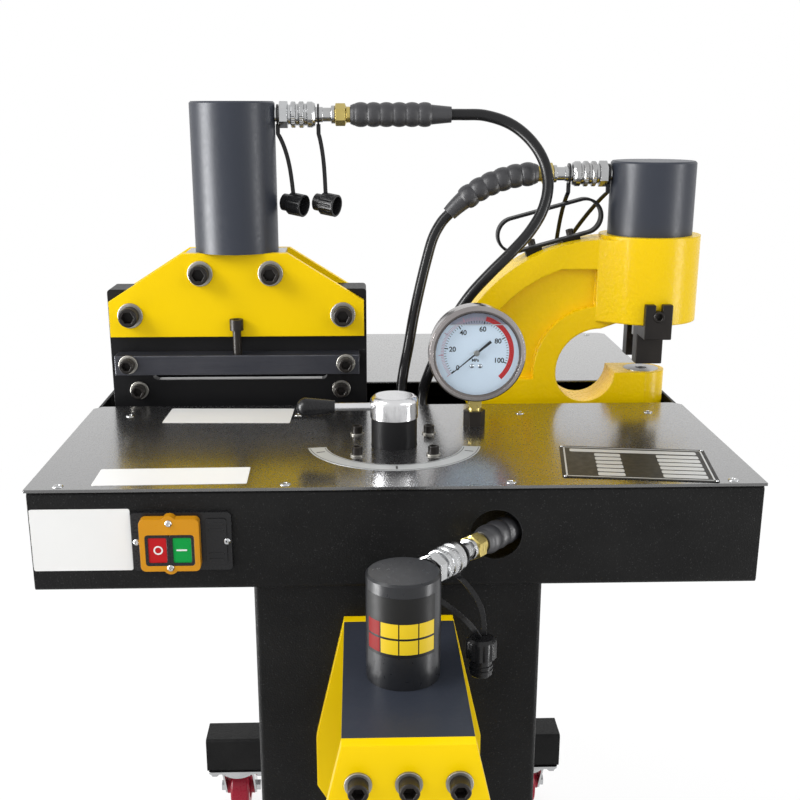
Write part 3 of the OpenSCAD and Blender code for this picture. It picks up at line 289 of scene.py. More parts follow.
class FinishMaker:
    """Builds the node tree of a finish."""

    def __init__(self, finish: Finish) -> None:
        """Starts an empty material for the finish.

        Args:
            finish: The finish to build.
        """
        self.finish = finish
        self.mat = bpy.data.materials.new(finish.name)
        self.mat.use_nodes = True
        self.mat.diffuse_color = (*finish.colour, 1.0)
        self.tree = self.mat.node_tree
        self.shader = self.tree.nodes["Principled BSDF"]
        self.coord = self.tree.nodes.new("ShaderNodeTexCoord")

    def node(self, kind: str, **inputs: object) -> bpy.types.Node:
        """Adds a node and sets or links its inputs.

        Args:
            kind: Node type.
            **inputs: Socket names, with spaces as underscores, and their values or source sockets.

        Returns:
            The new node.
        """
        made = self.tree.nodes.new(kind)
        for name, value in inputs.items():
            feed(self.tree, made.inputs[name.replace("_", " ")], value)
        return made

    def noise(self, scale: float, detail: float = 3.0, stretch: Sequence[float] = (1, 1, 1)) -> bpy.types.NodeSocket:
        """Adds a noise texture.

        Args:
            scale: Features per metre.
            detail: Levels of detail.
            stretch: Factor for X, Y and Z.

        Returns:
            Its factor socket.
        """
        mapping = self.node("ShaderNodeMapping", Vector=self.coord.outputs["Object"], Scale=stretch)
        vector = mapping.outputs["Vector"]
        return self.node("ShaderNodeTexNoise", Vector=vector, Scale=scale, Detail=detail).outputs["Fac"]

    def ranged(self, value: bpy.types.NodeSocket, low: float, high: float,
               out: tuple[float, float]) -> bpy.types.NodeSocket:
        """Maps a value from one range to another, with its ends clamped.

        Args:
            value: Source socket.
            low: Value that becomes the first of out.
            high: Value that becomes the second of out.
            out: The two results.

        Returns:
            The mapped socket.
        """
        made = self.node("ShaderNodeMapRange", Value=value, From_Min=low, From_Max=high, To_Min=out[0], To_Max=out[1])
        return made.outputs["Result"]

    def grain_height(self) -> bpy.types.NodeSocket:
        """Gives the relief that suits the finish's grain."""
        finish = self.finish
        if finish.grain is Grain.POWDER:
            cell = self.node("ShaderNodeTexVoronoi", Vector=self.coord.outputs["Object"], Scale=finish.scale)
            return cell.outputs["Distance"]
        detail, stretch = GRAIN_NOISE.get(finish.grain, (2.0, (1.0, 1.0, 1.0)))
        return self.noise(finish.scale, detail, stretch)

    def edge_mask(self, soft_normal: bpy.types.NodeSocket) -> bpy.types.NodeSocket:
        """Gives a mask that is 1 where a sharp edge is, broken up by noise: it marks edge wear and painted edge
        highlights.

        Args:
            soft_normal: Normal of the rounded edges.

        Returns:
            The mask's socket.
        """
        plain = self.node("ShaderNodeNewGeometry").outputs["Normal"]
        near = worked_out(self.tree, "DOT_PRODUCT", soft_normal, plain, "ShaderNodeVectorMath")
        edge = self.ranged(near, 0.99, 0.85, (0.0, self.finish.wear))
        patch = self.ranged(self.noise(60.0, 4.0), 0.35, 0.65, (0.25, 1.0))
        return worked_out(self.tree, "MULTIPLY", edge, patch)

    def make(self) -> bpy.types.Material:
        """Joins colour, roughness and relief to the shader.

        Returns:
            The finished material.
        """
        finish, height = self.finish, self.grain_height()
        broad = self.noise(max(finish.scale / 45.0, 6.0), 4.0)
        colour = self.node("ShaderNodeMixRGB", Fac=self.ranged(broad, 0.35, 0.7, (0.0, 1.0)),
                           Color1=(*finish.colour, 1.0), Color2=(*finish.tint, 1.0)).outputs["Color"]
        if finish.grain is Grain.POWDER:
            # Pale specks in the black coat: partly its speckled texture, partly painted glints of its sparkle.
            speck_and_glint = self.ranged(self.noise(finish.scale * 1.3, 1.0), 0.68, 0.74, (0.0, 0.30))
            colour = self.mixed(speck_and_glint, colour, tuple(min(1.0, c * 9 + 0.05) for c in finish.colour))
        bump = self.node("ShaderNodeBump", Height=height, Strength=finish.bump, Distance=finish.relief)
        if finish.edge > 0:
            bevel = self.node("ShaderNodeBevel", Radius=finish.edge)
            bevel.samples = 4
            feed(self.tree, bump.inputs["Normal"], bevel.outputs["Normal"])
            # Lighter colour along sharp edges: partly wear, partly painted highlight of the edges.
            if finish.wear > 0:
                pale_wear_and_highlight = tuple(min(1.0, c * 2.0 + 0.12) for c in finish.colour)
                colour = self.mixed(self.edge_mask(bevel.outputs["Normal"]), colour, pale_wear_and_highlight)
        rough = self.ranged(height, 0.25, 0.75, finish.rough)
        for name, value in (("Base Color", colour), ("Roughness", rough), ("Normal", bump.outputs["Normal"]),
                            ("Metallic", finish.metallic), ("Specular IOR Level", finish.shine),
                            ("Coat Weight", finish.coat), ("Coat Roughness", finish.rough[0]),
                            ("Coat IOR", COAT_INDEX)):
            feed(self.tree, self.shader.inputs[name], value)
        return self.mat

    def mixed(self, factor: bpy.types.NodeSocket, under: bpy.types.NodeSocket,
              over: Sequence[float]) -> bpy.types.NodeSocket:
        """Mixes a plain colour over a colour socket.

        Args:
            factor: Share of the upper colour.
            under: Lower colour.
            over: Upper colour.

        Returns:
            The mixed colour's socket.
        """
        return self.node("ShaderNodeMixRGB", Fac=factor, Color1=under, Color2=(*over, 1.0)).outputs["Color"]


@dataclass(frozen=True)
class ClearFinish(Finish):
    """Clear gauge glass that lets the dial show and keeps its shine."""

    def material(self) -> bpy.types.Material:
        """Gives the glass material, made on its first use."""
        made = bpy.data.materials.get(self.name)
        if made:
            return made
        made = bpy.data.materials.new(self.name)
        made.use_nodes = True
        tree = made.node_tree
        tree.nodes.remove(tree.nodes["Principled BSDF"])
        clear = tree.nodes.new("ShaderNodeBsdfTransparent")
        clear.inputs["Color"].default_value = (*self.colour, 1.0)
        shine = tree.nodes.new("ShaderNodeBsdfGlossy")
        shine.inputs["Roughness"].default_value = self.rough[0]
        facing = tree.nodes.new("ShaderNodeLayerWeight")
        facing.inputs["Blend"].default_value = 0.2
        two_surfaces(tree, worked_out(tree, "MULTIPLY", facing.outputs["Facing"], 0.35), clear, shine)
        return made


POWDER_BLACK = Finish("powder_black", "black_paint", (0.007, 0.007, 0.0072), (0.012, 0.012, 0.012), Grain.POWDER,
                      rough=(0.30, 0.52), bump=0.55, scale=620.0, edge=0.0012, wear=0.6, shine=0.11)
COVER_BLACK = Finish("cover_black", "black_paint", (0.013, 0.013, 0.0135), (0.020, 0.020, 0.021), Grain.POWDER,
                     rough=(0.16, 0.30), bump=0.20, scale=620.0, edge=0.0012, wear=0.6, shine=1.0, coat=1.0)
SATIN_BLACK = Finish("satin_black", "black_oxide", (0.009, 0.009, 0.010), (0.015, 0.015, 0.016), Grain.PAINT,
                     rough=(0.34, 0.46), bump=0.08, scale=300.0, edge=0.0012, wear=0.4, shine=0.11)
CYLINDER_GREY = Finish("cylinder_grey", "black_oxide", (0.026, 0.031, 0.044), (0.034, 0.039, 0.054), Grain.PAINT,
                       rough=(0.32, 0.44), bump=0.06, scale=260.0, edge=0.0, shine=0.28)
# Painted shade: a darker copy of the cylinder paint for the bender's cylinder, which stands in for the dark front that
# it reflects.
CYLINDER_SHADED = Finish("cylinder_shaded", "black_oxide", (0.010, 0.011, 0.014), (0.015, 0.016, 0.019), Grain.PAINT,
                        rough=(0.26, 0.36), bump=0.05, scale=260.0, edge=0.0, shine=0.38)
PLATE_YELLOW = Finish("plate_yellow", "yellow_paint", (0.94, 0.65, 0.0), (0.91, 0.61, 0.0), Grain.PAINT,
                      rough=(0.28, 0.40), bump=0.05, scale=220.0, edge=0.0012, wear=0.12, shine=0.10)
CAST_YELLOW = Finish("cast_yellow", "yellow_paint", (0.94, 0.65, 0.0), (0.88, 0.57, 0.0), Grain.CAST,
                     rough=(0.22, 0.34), bump=0.45, scale=240.0, edge=0.003, wear=0.08, shine=0.17, relief=0.0010)
BLACK_OXIDE = Finish("oxide_black", "black_oxide", (0.015, 0.013, 0.012), (0.025, 0.021, 0.018), Grain.TURNED,
                     metallic=0.15, rough=(0.28, 0.44), bump=0.12, scale=900.0, edge=0.0004, wear=0.3, shine=0.20)
ZINC_STEEL = Finish("zinc_steel", "zinc", (0.52, 0.53, 0.54), (0.40, 0.40, 0.40), Grain.TURNED,
                    metallic=1.0, rough=(0.14, 0.28), bump=0.08, scale=800.0, edge=0.0004)
WASHER_STEEL = Finish("washer_steel", "zinc", (0.33, 0.32, 0.29), (0.24, 0.23, 0.21), Grain.TURNED,
                      metallic=0.85, rough=(0.35, 0.55), bump=0.12, scale=900.0, edge=0.0003)
GROUND_STEEL = Finish("blade_steel", "ground_steel", (0.50, 0.50, 0.50), (0.40, 0.40, 0.40), Grain.BRUSHED,
                      metallic=1.0, rough=(0.24, 0.42), bump=0.12, scale=900.0, edge=0.0006)
CHROME = Finish("turned_chrome", "chrome", (0.70, 0.70, 0.71), (0.62, 0.62, 0.63), Grain.TURNED,
                metallic=1.0, rough=(0.14, 0.26), bump=0.05, scale=700.0, edge=0.0006)
BRASS = Finish("fitting_brass", "brass", (0.60, 0.49, 0.18), (0.46, 0.36, 0.11), Grain.TURNED,
               metallic=1.0, rough=(0.24, 0.40), bump=0.10, scale=800.0, edge=0.0005)
HOSE_RUBBER = Finish("hose_rubber", "rubber", (0.010, 0.010, 0.011), (0.016, 0.016, 0.017), Grain.RUBBER,
                     rough=(0.18, 0.30), bump=0.06, scale=500.0, edge=0.0, shine=0.22)
SLEEVE_RUBBER = Finish("sleeve_rubber", "rubber", (0.026, 0.026, 0.030), (0.038, 0.038, 0.041), Grain.RUBBER,
                       rough=(0.34, 0.52), bump=0.25, scale=420.0, edge=0.0006, shine=0.5)
WHEEL_RED = Finish("caster_red", "wheel_red", (0.36, 0.008, 0.030), (0.28, 0.006, 0.022), Grain.MOULDED,
                   rough=(0.22, 0.40), bump=0.10, scale=300.0, edge=0.0008, shine=0.25)
MOULDED_BLACK = Finish("moulded_black", "black_plastic", (0.010, 0.010, 0.011), (0.015, 0.015, 0.016), Grain.MOULDED,
                       rough=(0.22, 0.34), bump=0.08, scale=500.0, edge=0.0006, shine=0.26)
FRAME_ORANGE = Finish("frame_orange", "orange_plastic", (0.60, 0.26, 0.006), (0.55, 0.23, 0.006), Grain.MOULDED,
                      rough=(0.26, 0.38), bump=0.05, scale=350.0, edge=0.0008, shine=0.18)
STOP_RED = Finish("stop_red", "red_plastic", (0.48, 0.008, 0.012), (0.43, 0.007, 0.010), Grain.MOULDED,
                  rough=(0.26, 0.38), bump=0.05, scale=350.0, edge=0.0010, shine=0.14)
START_GREEN = replace(STOP_RED, name="start_green", slot="green_plastic", colour=(0.003, 0.32, 0.055),
                      tint=(0.003, 0.27, 0.046), shine=0.12)
INK_BLACK = Finish("ink_black", "needle_black", (0.012, 0.012, 0.012), (0.018, 0.018, 0.018), Grain.PRINT,
                   rough=(0.45, 0.60), bump=0.03, scale=300.0, edge=0.0001)
DIAL_WHITE = replace(INK_BLACK, name="dial_face", slot="dial_white", colour=(0.84, 0.93, 1.0),
                     tint=(0.81, 0.90, 0.98), edge=0.0002)
DIAL_RED = replace(INK_BLACK, name="dial_red", slot="red_plastic", colour=(0.70, 0.020, 0.020),
                   tint=(0.62, 0.018, 0.018))
SCALE_PINK = replace(INK_BLACK, name="scale_pink", slot="red_plastic", colour=(0.72, 0.36, 0.42),
                     tint=(0.68, 0.33, 0.39))
# Painted shade for the dial above the filling.
DIAL_PAINTED_SHADE = replace(INK_BLACK, name="dial_painted_shade", slot="dial_white", colour=(0.40, 0.40, 0.47),
                     tint=(0.34, 0.34, 0.41))
FILM_WHITE = Finish("film_white", "dial_white", (0.80, 0.80, 0.79), (0.75, 0.75, 0.74), Grain.PRINT,
                    rough=(0.30, 0.42), bump=0.06, scale=120.0, edge=0.0002)
FILM_SILVER = Finish("film_silver", "zinc", (0.52, 0.53, 0.53), (0.45, 0.46, 0.46), Grain.PRINT,
                     metallic=0.3, rough=(0.34, 0.48), bump=0.06, scale=160.0, edge=0.0002)
FILM_BLACK = Finish("film_black", "black_plastic", (0.008, 0.008, 0.008), (0.013, 0.013, 0.013), Grain.PRINT,
                    rough=(0.36, 0.48), bump=0.04, scale=160.0, edge=0.0002, shine=0.18)
FILM_YELLOW = Finish("film_yellow", "yellow_paint", (0.86, 0.62, 0.020), (0.80, 0.56, 0.018), Grain.PRINT,
                     rough=(0.36, 0.48), bump=0.04, scale=160.0, edge=0.0001, shine=0.16)
FILM_RED = replace(FILM_YELLOW, name="film_red", slot="red_plastic", colour=(0.36, 0.006, 0.006),
                   tint=(0.30, 0.005, 0.005), shine=0.10)
RING_DARK = Finish("ring_dark", "zinc", (0.16, 0.145, 0.14), (0.11, 0.10, 0.10), Grain.TURNED,
                   metallic=1.0, rough=(0.16, 0.28), bump=0.05, scale=700.0, edge=0.0004)
BEZEL_STEEL = Finish("bezel_steel", "zinc", (0.36, 0.34, 0.335), (0.27, 0.25, 0.25), Grain.TURNED,
                     metallic=1.0, rough=(0.10, 0.20), bump=0.05, scale=700.0, edge=0.0004)
# Painted highlight: the bar's edges take the full lighter colour, which stands in for their edge highlights.
BAR_GREY = Finish("bar_grey", "black_oxide", (0.027, 0.029, 0.039), (0.047, 0.048, 0.058), Grain.BRUSHED,
                  metallic=0.35, rough=(0.30, 0.46), bump=0.12, scale=700.0, edge=0.0022, wear=1.0, shine=0.45)
GAUGE_GLASS = ClearFinish("gauge_glass", "glass", (0.96, 0.98, 1.0), (0.96, 0.98, 1.0), Grain.PRINT, rough=(0.03, 0.05))

SLOT_FINISH: dict[str, Finish] = {finish.slot: finish for finish in (
    POWDER_BLACK, PLATE_YELLOW, BLACK_OXIDE, ZINC_STEEL, GROUND_STEEL, CHROME, BRASS, SLEEVE_RUBBER, WHEEL_RED,
    MOULDED_BLACK, FRAME_ORANGE, STOP_RED, START_GREEN, DIAL_WHITE, INK_BLACK, GAUGE_GLASS)}
NODE_FINISH: dict[str, Finish] = {
    "front_cover": COVER_BLACK, "rear_cover": COVER_BLACK, "cutter_body": SATIN_BLACK,
    "cutter_clamp_bar": BAR_GREY, "valve_hub": SATIN_BLACK, "bender_cylinder": CYLINDER_SHADED,
    "cutter_cylinder": CYLINDER_GREY, "punch_cylinder": CYLINDER_GREY,
    "bender_block": CYLINDER_GREY, "punch_frame": CAST_YELLOW, "punch_strippers": BLACK_OXIDE,
    "punch_handle": SATIN_BLACK, "gauge_case": BEZEL_STEEL, "oil_tank": SATIN_BLACK, "pump_motor": SATIN_BLACK,
}


class MeshKit:
    """Turns rings and outlines into closed meshes and places them as pieces."""

    STEPS = 72

    @staticmethod
    def skin(rings: Sequence[Sequence[Vector]], around: bool = False) -> bmesh.types.BMesh:
        """Joins rings of points into a closed skin.

        Args:
            rings: Rings with the same number of points.
            around: Whether the last ring meets the first one, in place of flat ends.

        Returns:
            The mesh, with its faces outwards.
        """
        made = bmesh.new()
        rows = [[made.verts.new(p) for p in ring] for ring in rings]
        count = len(rows[0])
        for a, b in zip(rows, rows[1:] + rows[:1] if around else rows[1:]):
            for i in range(count):
                j = (i + 1) % count
                made.faces.new((a[i], a[j], b[j], b[i]))
        if not around:
            made.faces.new(list(reversed(rows[0])))
            made.faces.new(rows[-1])
        bmesh.ops.recalc_face_normals(made, faces=made.faces)
        return made

    @classmethod
    def ring(cls, radius: float, z: float, shape: RingShape) -> list[Vector]:
        """Gives the points of one section.

        Args:
            radius: Radius, or half the width across a hexagon's flats.
            z: Place along the axis.
            shape: Section shape.

        Returns:
            The points, round the Z axis.
        """
        points = []
        for i in range(cls.STEPS):
            turn = 2 * math.pi * i / cls.STEPS
            reach = radius
            if shape is RingShape.HEX:
                reach = radius / math.cos((turn % (math.pi / 3)) - math.pi / 6)
            elif shape is RingShape.KNURL:
                reach = radius * (1.0 if i % 2 else 0.965)
            elif shape is RingShape.FLUTE:
                reach = radius * (1.0 - 0.07 * max(0.0, math.cos(turn * 12)))
            points.append(Vector((reach * math.cos(turn), reach * math.sin(turn), z)))
        return points

    @classmethod
    def turned(cls, profile: Sequence[tuple], place: Matrix = Matrix.Identity(4)) -> bmesh.types.BMesh:
        """Makes a turned piece.

        Args:
            profile: Rows of place along the axis, radius and, where it isn't round, section shape.
            place: Where the Z axis of the profile goes.

        Returns:
            The mesh.
        """
        rings = []
        for row in profile:
            shape = row[2] if len(row) > 2 else RingShape.ROUND
            rings.append([place @ p for p in cls.ring(row[1], row[0], shape)])
        return cls.skin(rings)

    @classmethod
    def hollow(cls, profile: Sequence[tuple[float, float]], place: Matrix) -> bmesh.types.BMesh:
        """Makes a ring whose section is a closed outline.

        Args:
            profile: Rows of place along the axis and radius, once round the section.
            place: Where the Z axis of the ring goes.

        Returns:
            The mesh.
        """
        return cls.skin([[place @ p for p in cls.ring(r, z, RingShape.ROUND)] for z, r in profile], around=True)

    @staticmethod
    def along(path: Sequence[Vector], i: int) -> Vector:
        """Gives the direction of a path at one of its points.

        Args:
            path: Points of the path.
            i: Number of the point.

        Returns:
            The direction, of length 1.
        """
        return (path[min(i + 1, len(path) - 1)] - path[max(i - 1, 0)]).normalized()

    @staticmethod
    def swept(path: Sequence[Vector], radii: Sequence[float], sides: int = 32) -> bmesh.types.BMesh:
        """Makes a round tube of changing radius along a path.

        Args:
            path: Points of the centre line.
            radii: Radius at each point.
            sides: Points round the tube.

        Returns:
            The mesh.
        """
        rings, across = [], None
        for i, point in enumerate(path):
            along = MeshKit.along(path, i)
            across = across or along.orthogonal()
            across = (across - along * across.dot(along)).normalized()
            other = along.cross(across)
            rings.append([point + radii[i] * (math.cos(t) * across + math.sin(t) * other)
                          for t in (2 * math.pi * k / sides for k in range(sides))])
        return MeshKit.skin(rings)

    @staticmethod
    def ribbon(path: Sequence[Vector], width: float, thick: float, side: Vector) -> bmesh.types.BMesh:
        """Makes a flat strap along a path.

        Args:
            path: Points of the centre line.
            width: Width of the strap.
            thick: Thickness of the strap.
            side: Direction of the width.

        Returns:
            The mesh.
        """
        rings = []
        for i, point in enumerate(path):
            along = MeshKit.along(path, i)
            wide = (side - along * side.dot(along)).normalized()
            flat = along.cross(wide)
            corners = ((-1, -1), (1, -1), (1, 1), (-1, 1))
            rings.append([point + wide * (a * width / 2) + flat * (b * thick / 2) for a, b in corners])
        return MeshKit.skin(rings)

    @staticmethod
    def plate(outline: Sequence[tuple[float, float]], thick: float, place: Matrix) -> bmesh.types.BMesh:
        """Makes a thin plate from its outline.

        Args:
            outline: Points in the plate's own plane.
            thick: Thickness along the plate's Z.
            place: Where the plate goes.

        Returns:
            The mesh.
        """
        levels = (0.0, thick)
        return MeshKit.skin([[place @ Vector((x, y, z)) for x, y in outline] for z in levels])

    @staticmethod
    def rounded(width: float, height: float, radius: float, steps: int = 6) -> list[tuple[float, float]]:
        """Gives the outline of a rounded rectangle about its centre.

        Args:
            width: Size along X.
            height: Size along Y.
            radius: Corner radius.
            steps: Points on each corner.

        Returns:
            The outline.
        """
        points = []
        for corner, (sx, sy) in enumerate(((1, 1), (-1, 1), (-1, -1), (1, -1))):
            for k in range(steps + 1):
                turn = math.pi / 2 * (corner + k / steps)
                points.append((sx * (width / 2 - radius) + radius * math.cos(turn),
                               sy * (height / 2 - radius) + radius * math.sin(turn)))
        return points

    @staticmethod
    def sector(inner: float, outer: float, start: float, end: float, thick: float,
               place: Matrix) -> bmesh.types.BMesh:
        """Makes a flat ring sector.

        Args:
            inner: Inside radius.
            outer: Outside radius.
            start: First angle from +X, in degrees.
            end: Last angle from +X, in degrees.
            thick: Thickness.
            place: Where its centre and plane go.

        Returns:
            The mesh.
        """
        turns = [math.radians(start + (end - start) * k / 48) for k in range(49)]
        outline = [(outer * math.cos(t), outer * math.sin(t)) for t in turns]
        outline += [(inner * math.cos(t), inner * math.sin(t)) for t in reversed(turns)]
        return MeshKit.plate(outline, thick, place)

    @staticmethod
    def joined(parts: Sequence[bmesh.types.BMesh]) -> bmesh.types.BMesh:
        """Puts several meshes into one.

        Args:
            parts: The meshes, which are used up.

        Returns:
            One mesh.
        """
        whole = bmesh.new()
        for part in parts:
            step = drawn(part, "step")
            whole.from_mesh(step)
            bpy.data.meshes.remove(step)
        return whole

    @staticmethod
    def link(name: str, mesh: bpy.types.Mesh, finish: Finish, body: str = ROOT) -> bpy.types.Object:
        """Places a mesh as a piece of the machine.

        Args:
            name: Piece name.
            mesh: Its mesh, in the machine's frame.
            finish: Its finish.
            body: The body that it moves with.

        Returns:
            The piece.
        """
        mesh.materials.clear()
        mesh.materials.append(finish.material())
        piece = into_scene(bpy.data.objects.new(name, mesh))
        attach(piece, body)
        LOG.info("piece %s on %s", name, body)
        return piece

    @classmethod
    def piece(cls, name: str, made: bmesh.types.BMesh, finish: Finish, body: str = ROOT,
              sharp: float = SHARP_ANGLE) -> bpy.types.Object:
        """Turns a bmesh into a smooth-shaded piece.

        Args:
            name: Piece name.
            made: The bmesh, which is used up.
            finish: Its finish.
            body: The body that it moves with.
            sharp: Angle past which an edge stays sharp, in degrees.

        Returns:
            The piece.
        """
        return cls.link(name, smoothed(drawn(made, name), sharp), finish, body)

    @classmethod
    def turned_set(cls, name: str, profile: Sequence[tuple], places: Sequence[Matrix], finish: Finish,
                   sharp: float = SHARP_ANGLE) -> bpy.types.Object:
        """Makes one piece of several turned shapes that are alike.

        Args:
            name: Piece name.
            profile: Rows as for turned().
            places: Where each one goes.
            finish: Their finish.
            sharp: Angle past which an edge stays sharp, in degrees.

        Returns:
            The piece.
        """
        return cls.piece(name, cls.joined([cls.turned(profile, p) for p in places]), finish, sharp=sharp)


class CopyTree:
    """A Geometry Nodes tree that copies a shape to points and gives the copies a finish."""

    def __init__(self, name: str, inputs: Sequence[tuple[str, str]]) -> None:
        """Makes the named inputs and the end of the tree, from the copies on.

        Args:
            name: Tree name.
            inputs: Name and kind of each input before the finish.
        """
        self.tree = bpy.data.node_groups.new(name, "GeometryNodeTree")
        for label, kind in (*inputs, ("Finish", "Material")):
            self.tree.interface.new_socket(label, in_out="INPUT", socket_type=f"NodeSocket{kind}")
        self.tree.interface.new_socket("Result", in_out="OUTPUT", socket_type="NodeSocketGeometry")
        self.start, self.copies = self.add("NodeGroupInput"), self.add("GeometryNodeInstanceOnPoints")
        self.turn = self.add("FunctionNodeEulerToRotation")
        real, paint = self.add("GeometryNodeRealizeInstances"), self.add("GeometryNodeSetMaterial")
        self.link(self.turn, "Rotation", self.copies, "Rotation")
        self.link(self.copies, "Instances", real, "Geometry")
        self.link(real, "Geometry", paint, "Geometry")
        self.link(self.start, "Finish", paint, "Material")
        self.link(paint, "Geometry", self.add("NodeGroupOutput"), "Result")

    def add(self, kind: str) -> bpy.types.Node:
        """Adds a node of a kind."""
        return self.tree.nodes.new(kind)

    def link(self, source: bpy.types.Node, output: str | int, target: bpy.types.Node, entry: str | int) -> None:
        """Links an output of one node to an input of another.

        Args:
            source: The first node.
            output: Name or number of its output.
            target: The second node.
            entry: Name or number of its input.
        """
        self.tree.links.new(source.outputs[output], target.inputs[entry])

    def run(self, name: str, base: bpy.types.Mesh, values: dict[str, object], finish: Finish) -> bpy.types.Mesh:
        """Runs the tree on a mesh.

        Args:
            name: Name of the result.
            base: The mesh that it starts from.
            values: Values of the named inputs.
            finish: Finish of the copies.

        Returns:
            The copies as a plain mesh.
        """
        carrier = into_scene(bpy.data.objects.new(f"{name}_base", base))
        modifier = carrier.modifiers.new("copies", "NODES")
        modifier.node_group = self.tree
        keys = {i.name: i.identifier for i in self.tree.interface.items_tree if i.in_out == "INPUT"}
        for label, value in {**values, "Finish": finish.material()}.items():
            modifier[keys[label]] = value
        return plain_mesh(carrier, name)


class PointSpread(CopyTree):
    """Copies one small piece to many points."""

    def __init__(self) -> None:
        """Builds the tree with its named inputs."""
        super().__init__("PiecesOnPoints", (("Points", "Geometry"), ("Piece", "Object"), ("Turn", "Vector")))
        info, size = self.add("GeometryNodeObjectInfo"), self.add("GeometryNodeInputNamedAttribute")
        size.data_type = "FLOAT"
        size.inputs["Name"].default_value = "size"
        self.link(self.start, "Piece", info, "Object")
        self.link(self.start, "Turn", self.turn, "Euler")
        self.link(self.start, "Points", self.copies, "Points")
        self.link(info, "Geometry", self.copies, "Instance")
        self.link(size, "Attribute", self.copies, "Scale")

    def make(self, name: str, points: Sequence[tuple[Vector, float]], unit: bmesh.types.BMesh, finish: Finish,
             turn: Sequence[float] = (0, 0, 0), sharp: float = SHARP_ANGLE) -> bpy.types.Object:
        """Copies a unit shape to each point.

        Args:
            name: Piece name.
            points: Places and sizes.
            unit: The unit shape, which is used up.
            finish: Its finish.
            turn: Euler turn of every copy.
            sharp: Angle past which an edge stays sharp, in degrees.

        Returns:
            One piece with all the copies.
        """
        pattern = into_scene(bpy.data.objects.new(f"{name}_unit", drawn(unit, f"{name}_unit")))
        cloud = bpy.data.meshes.new(f"{name}_points")
        cloud.from_pydata([p for p, _ in points], [], [])
        cloud.attributes.new("size", "FLOAT", "POINT").data.foreach_set("value", [s for _, s in points])
        mesh = self.run(name, cloud, {"Piece": pattern, "Turn": turn}, finish)
        bpy.data.objects.remove(pattern)
        return MeshKit.link(name, smoothed(mesh, sharp), finish)


class DialMarks(CopyTree):
    """Makes the graduation of a round scale."""

    def __init__(self) -> None:
        """Builds the tree with its named inputs."""
        super().__init__("DialMarks", (("Geometry", "Geometry"), ("Count", "Int"), ("Step", "Float"),
                                       ("Start", "Float"), ("Radius", "Float"), ("Length", "Float"),
                                       ("Width", "Float")))
        line, mark, shift, index, angle, reach, euler = (self.add(kind) for kind in (
            "GeometryNodeMeshLine", "GeometryNodeMeshGrid", "GeometryNodeTransform", "GeometryNodeInputIndex",
            "ShaderNodeMath", "ShaderNodeCombineXYZ", "ShaderNodeCombineXYZ"))
        line.inputs["Offset"].default_value = (0, 0, 0)
        mark.inputs["Vertices X"].default_value = mark.inputs["Vertices Y"].default_value = 2
        angle.operation = "MULTIPLY_ADD"
        for source, output, target, entry in (
                (self.start, "Count", line, "Count"), (self.start, "Width", mark, "Size X"),
                (self.start, "Length", mark, "Size Y"), (self.start, "Radius", reach, "Y"),
                (mark, "Mesh", shift, "Geometry"), (reach, "Vector", shift, "Translation"),
                (index, "Index", angle, 0), (self.start, "Step", angle, 1), (self.start, "Start", angle, 2),
                (angle, "Value", euler, "Z"), (euler, "Vector", self.turn, "Euler"),
                (line, "Mesh", self.copies, "Points"), (shift, "Geometry", self.copies, "Instance")):
            self.link(source, output, target, entry)

    def make(self, name: str, place: Matrix, values: dict[str, float], finish: Finish) -> bpy.types.Object:
        """Makes one set of marks.

        Args:
            name: Piece name.
            place: Where the scale's centre and plane go.
            values: Count, Step, Start, Radius, Length and Width.
            finish: Colour of the marks.

        Returns:
            The marks as one piece.
        """
        mesh = self.run(name, bpy.data.meshes.new(f"{name}_base"), values, finish)
        mesh.transform(place)
        return MeshKit.link(name, mesh, finish)


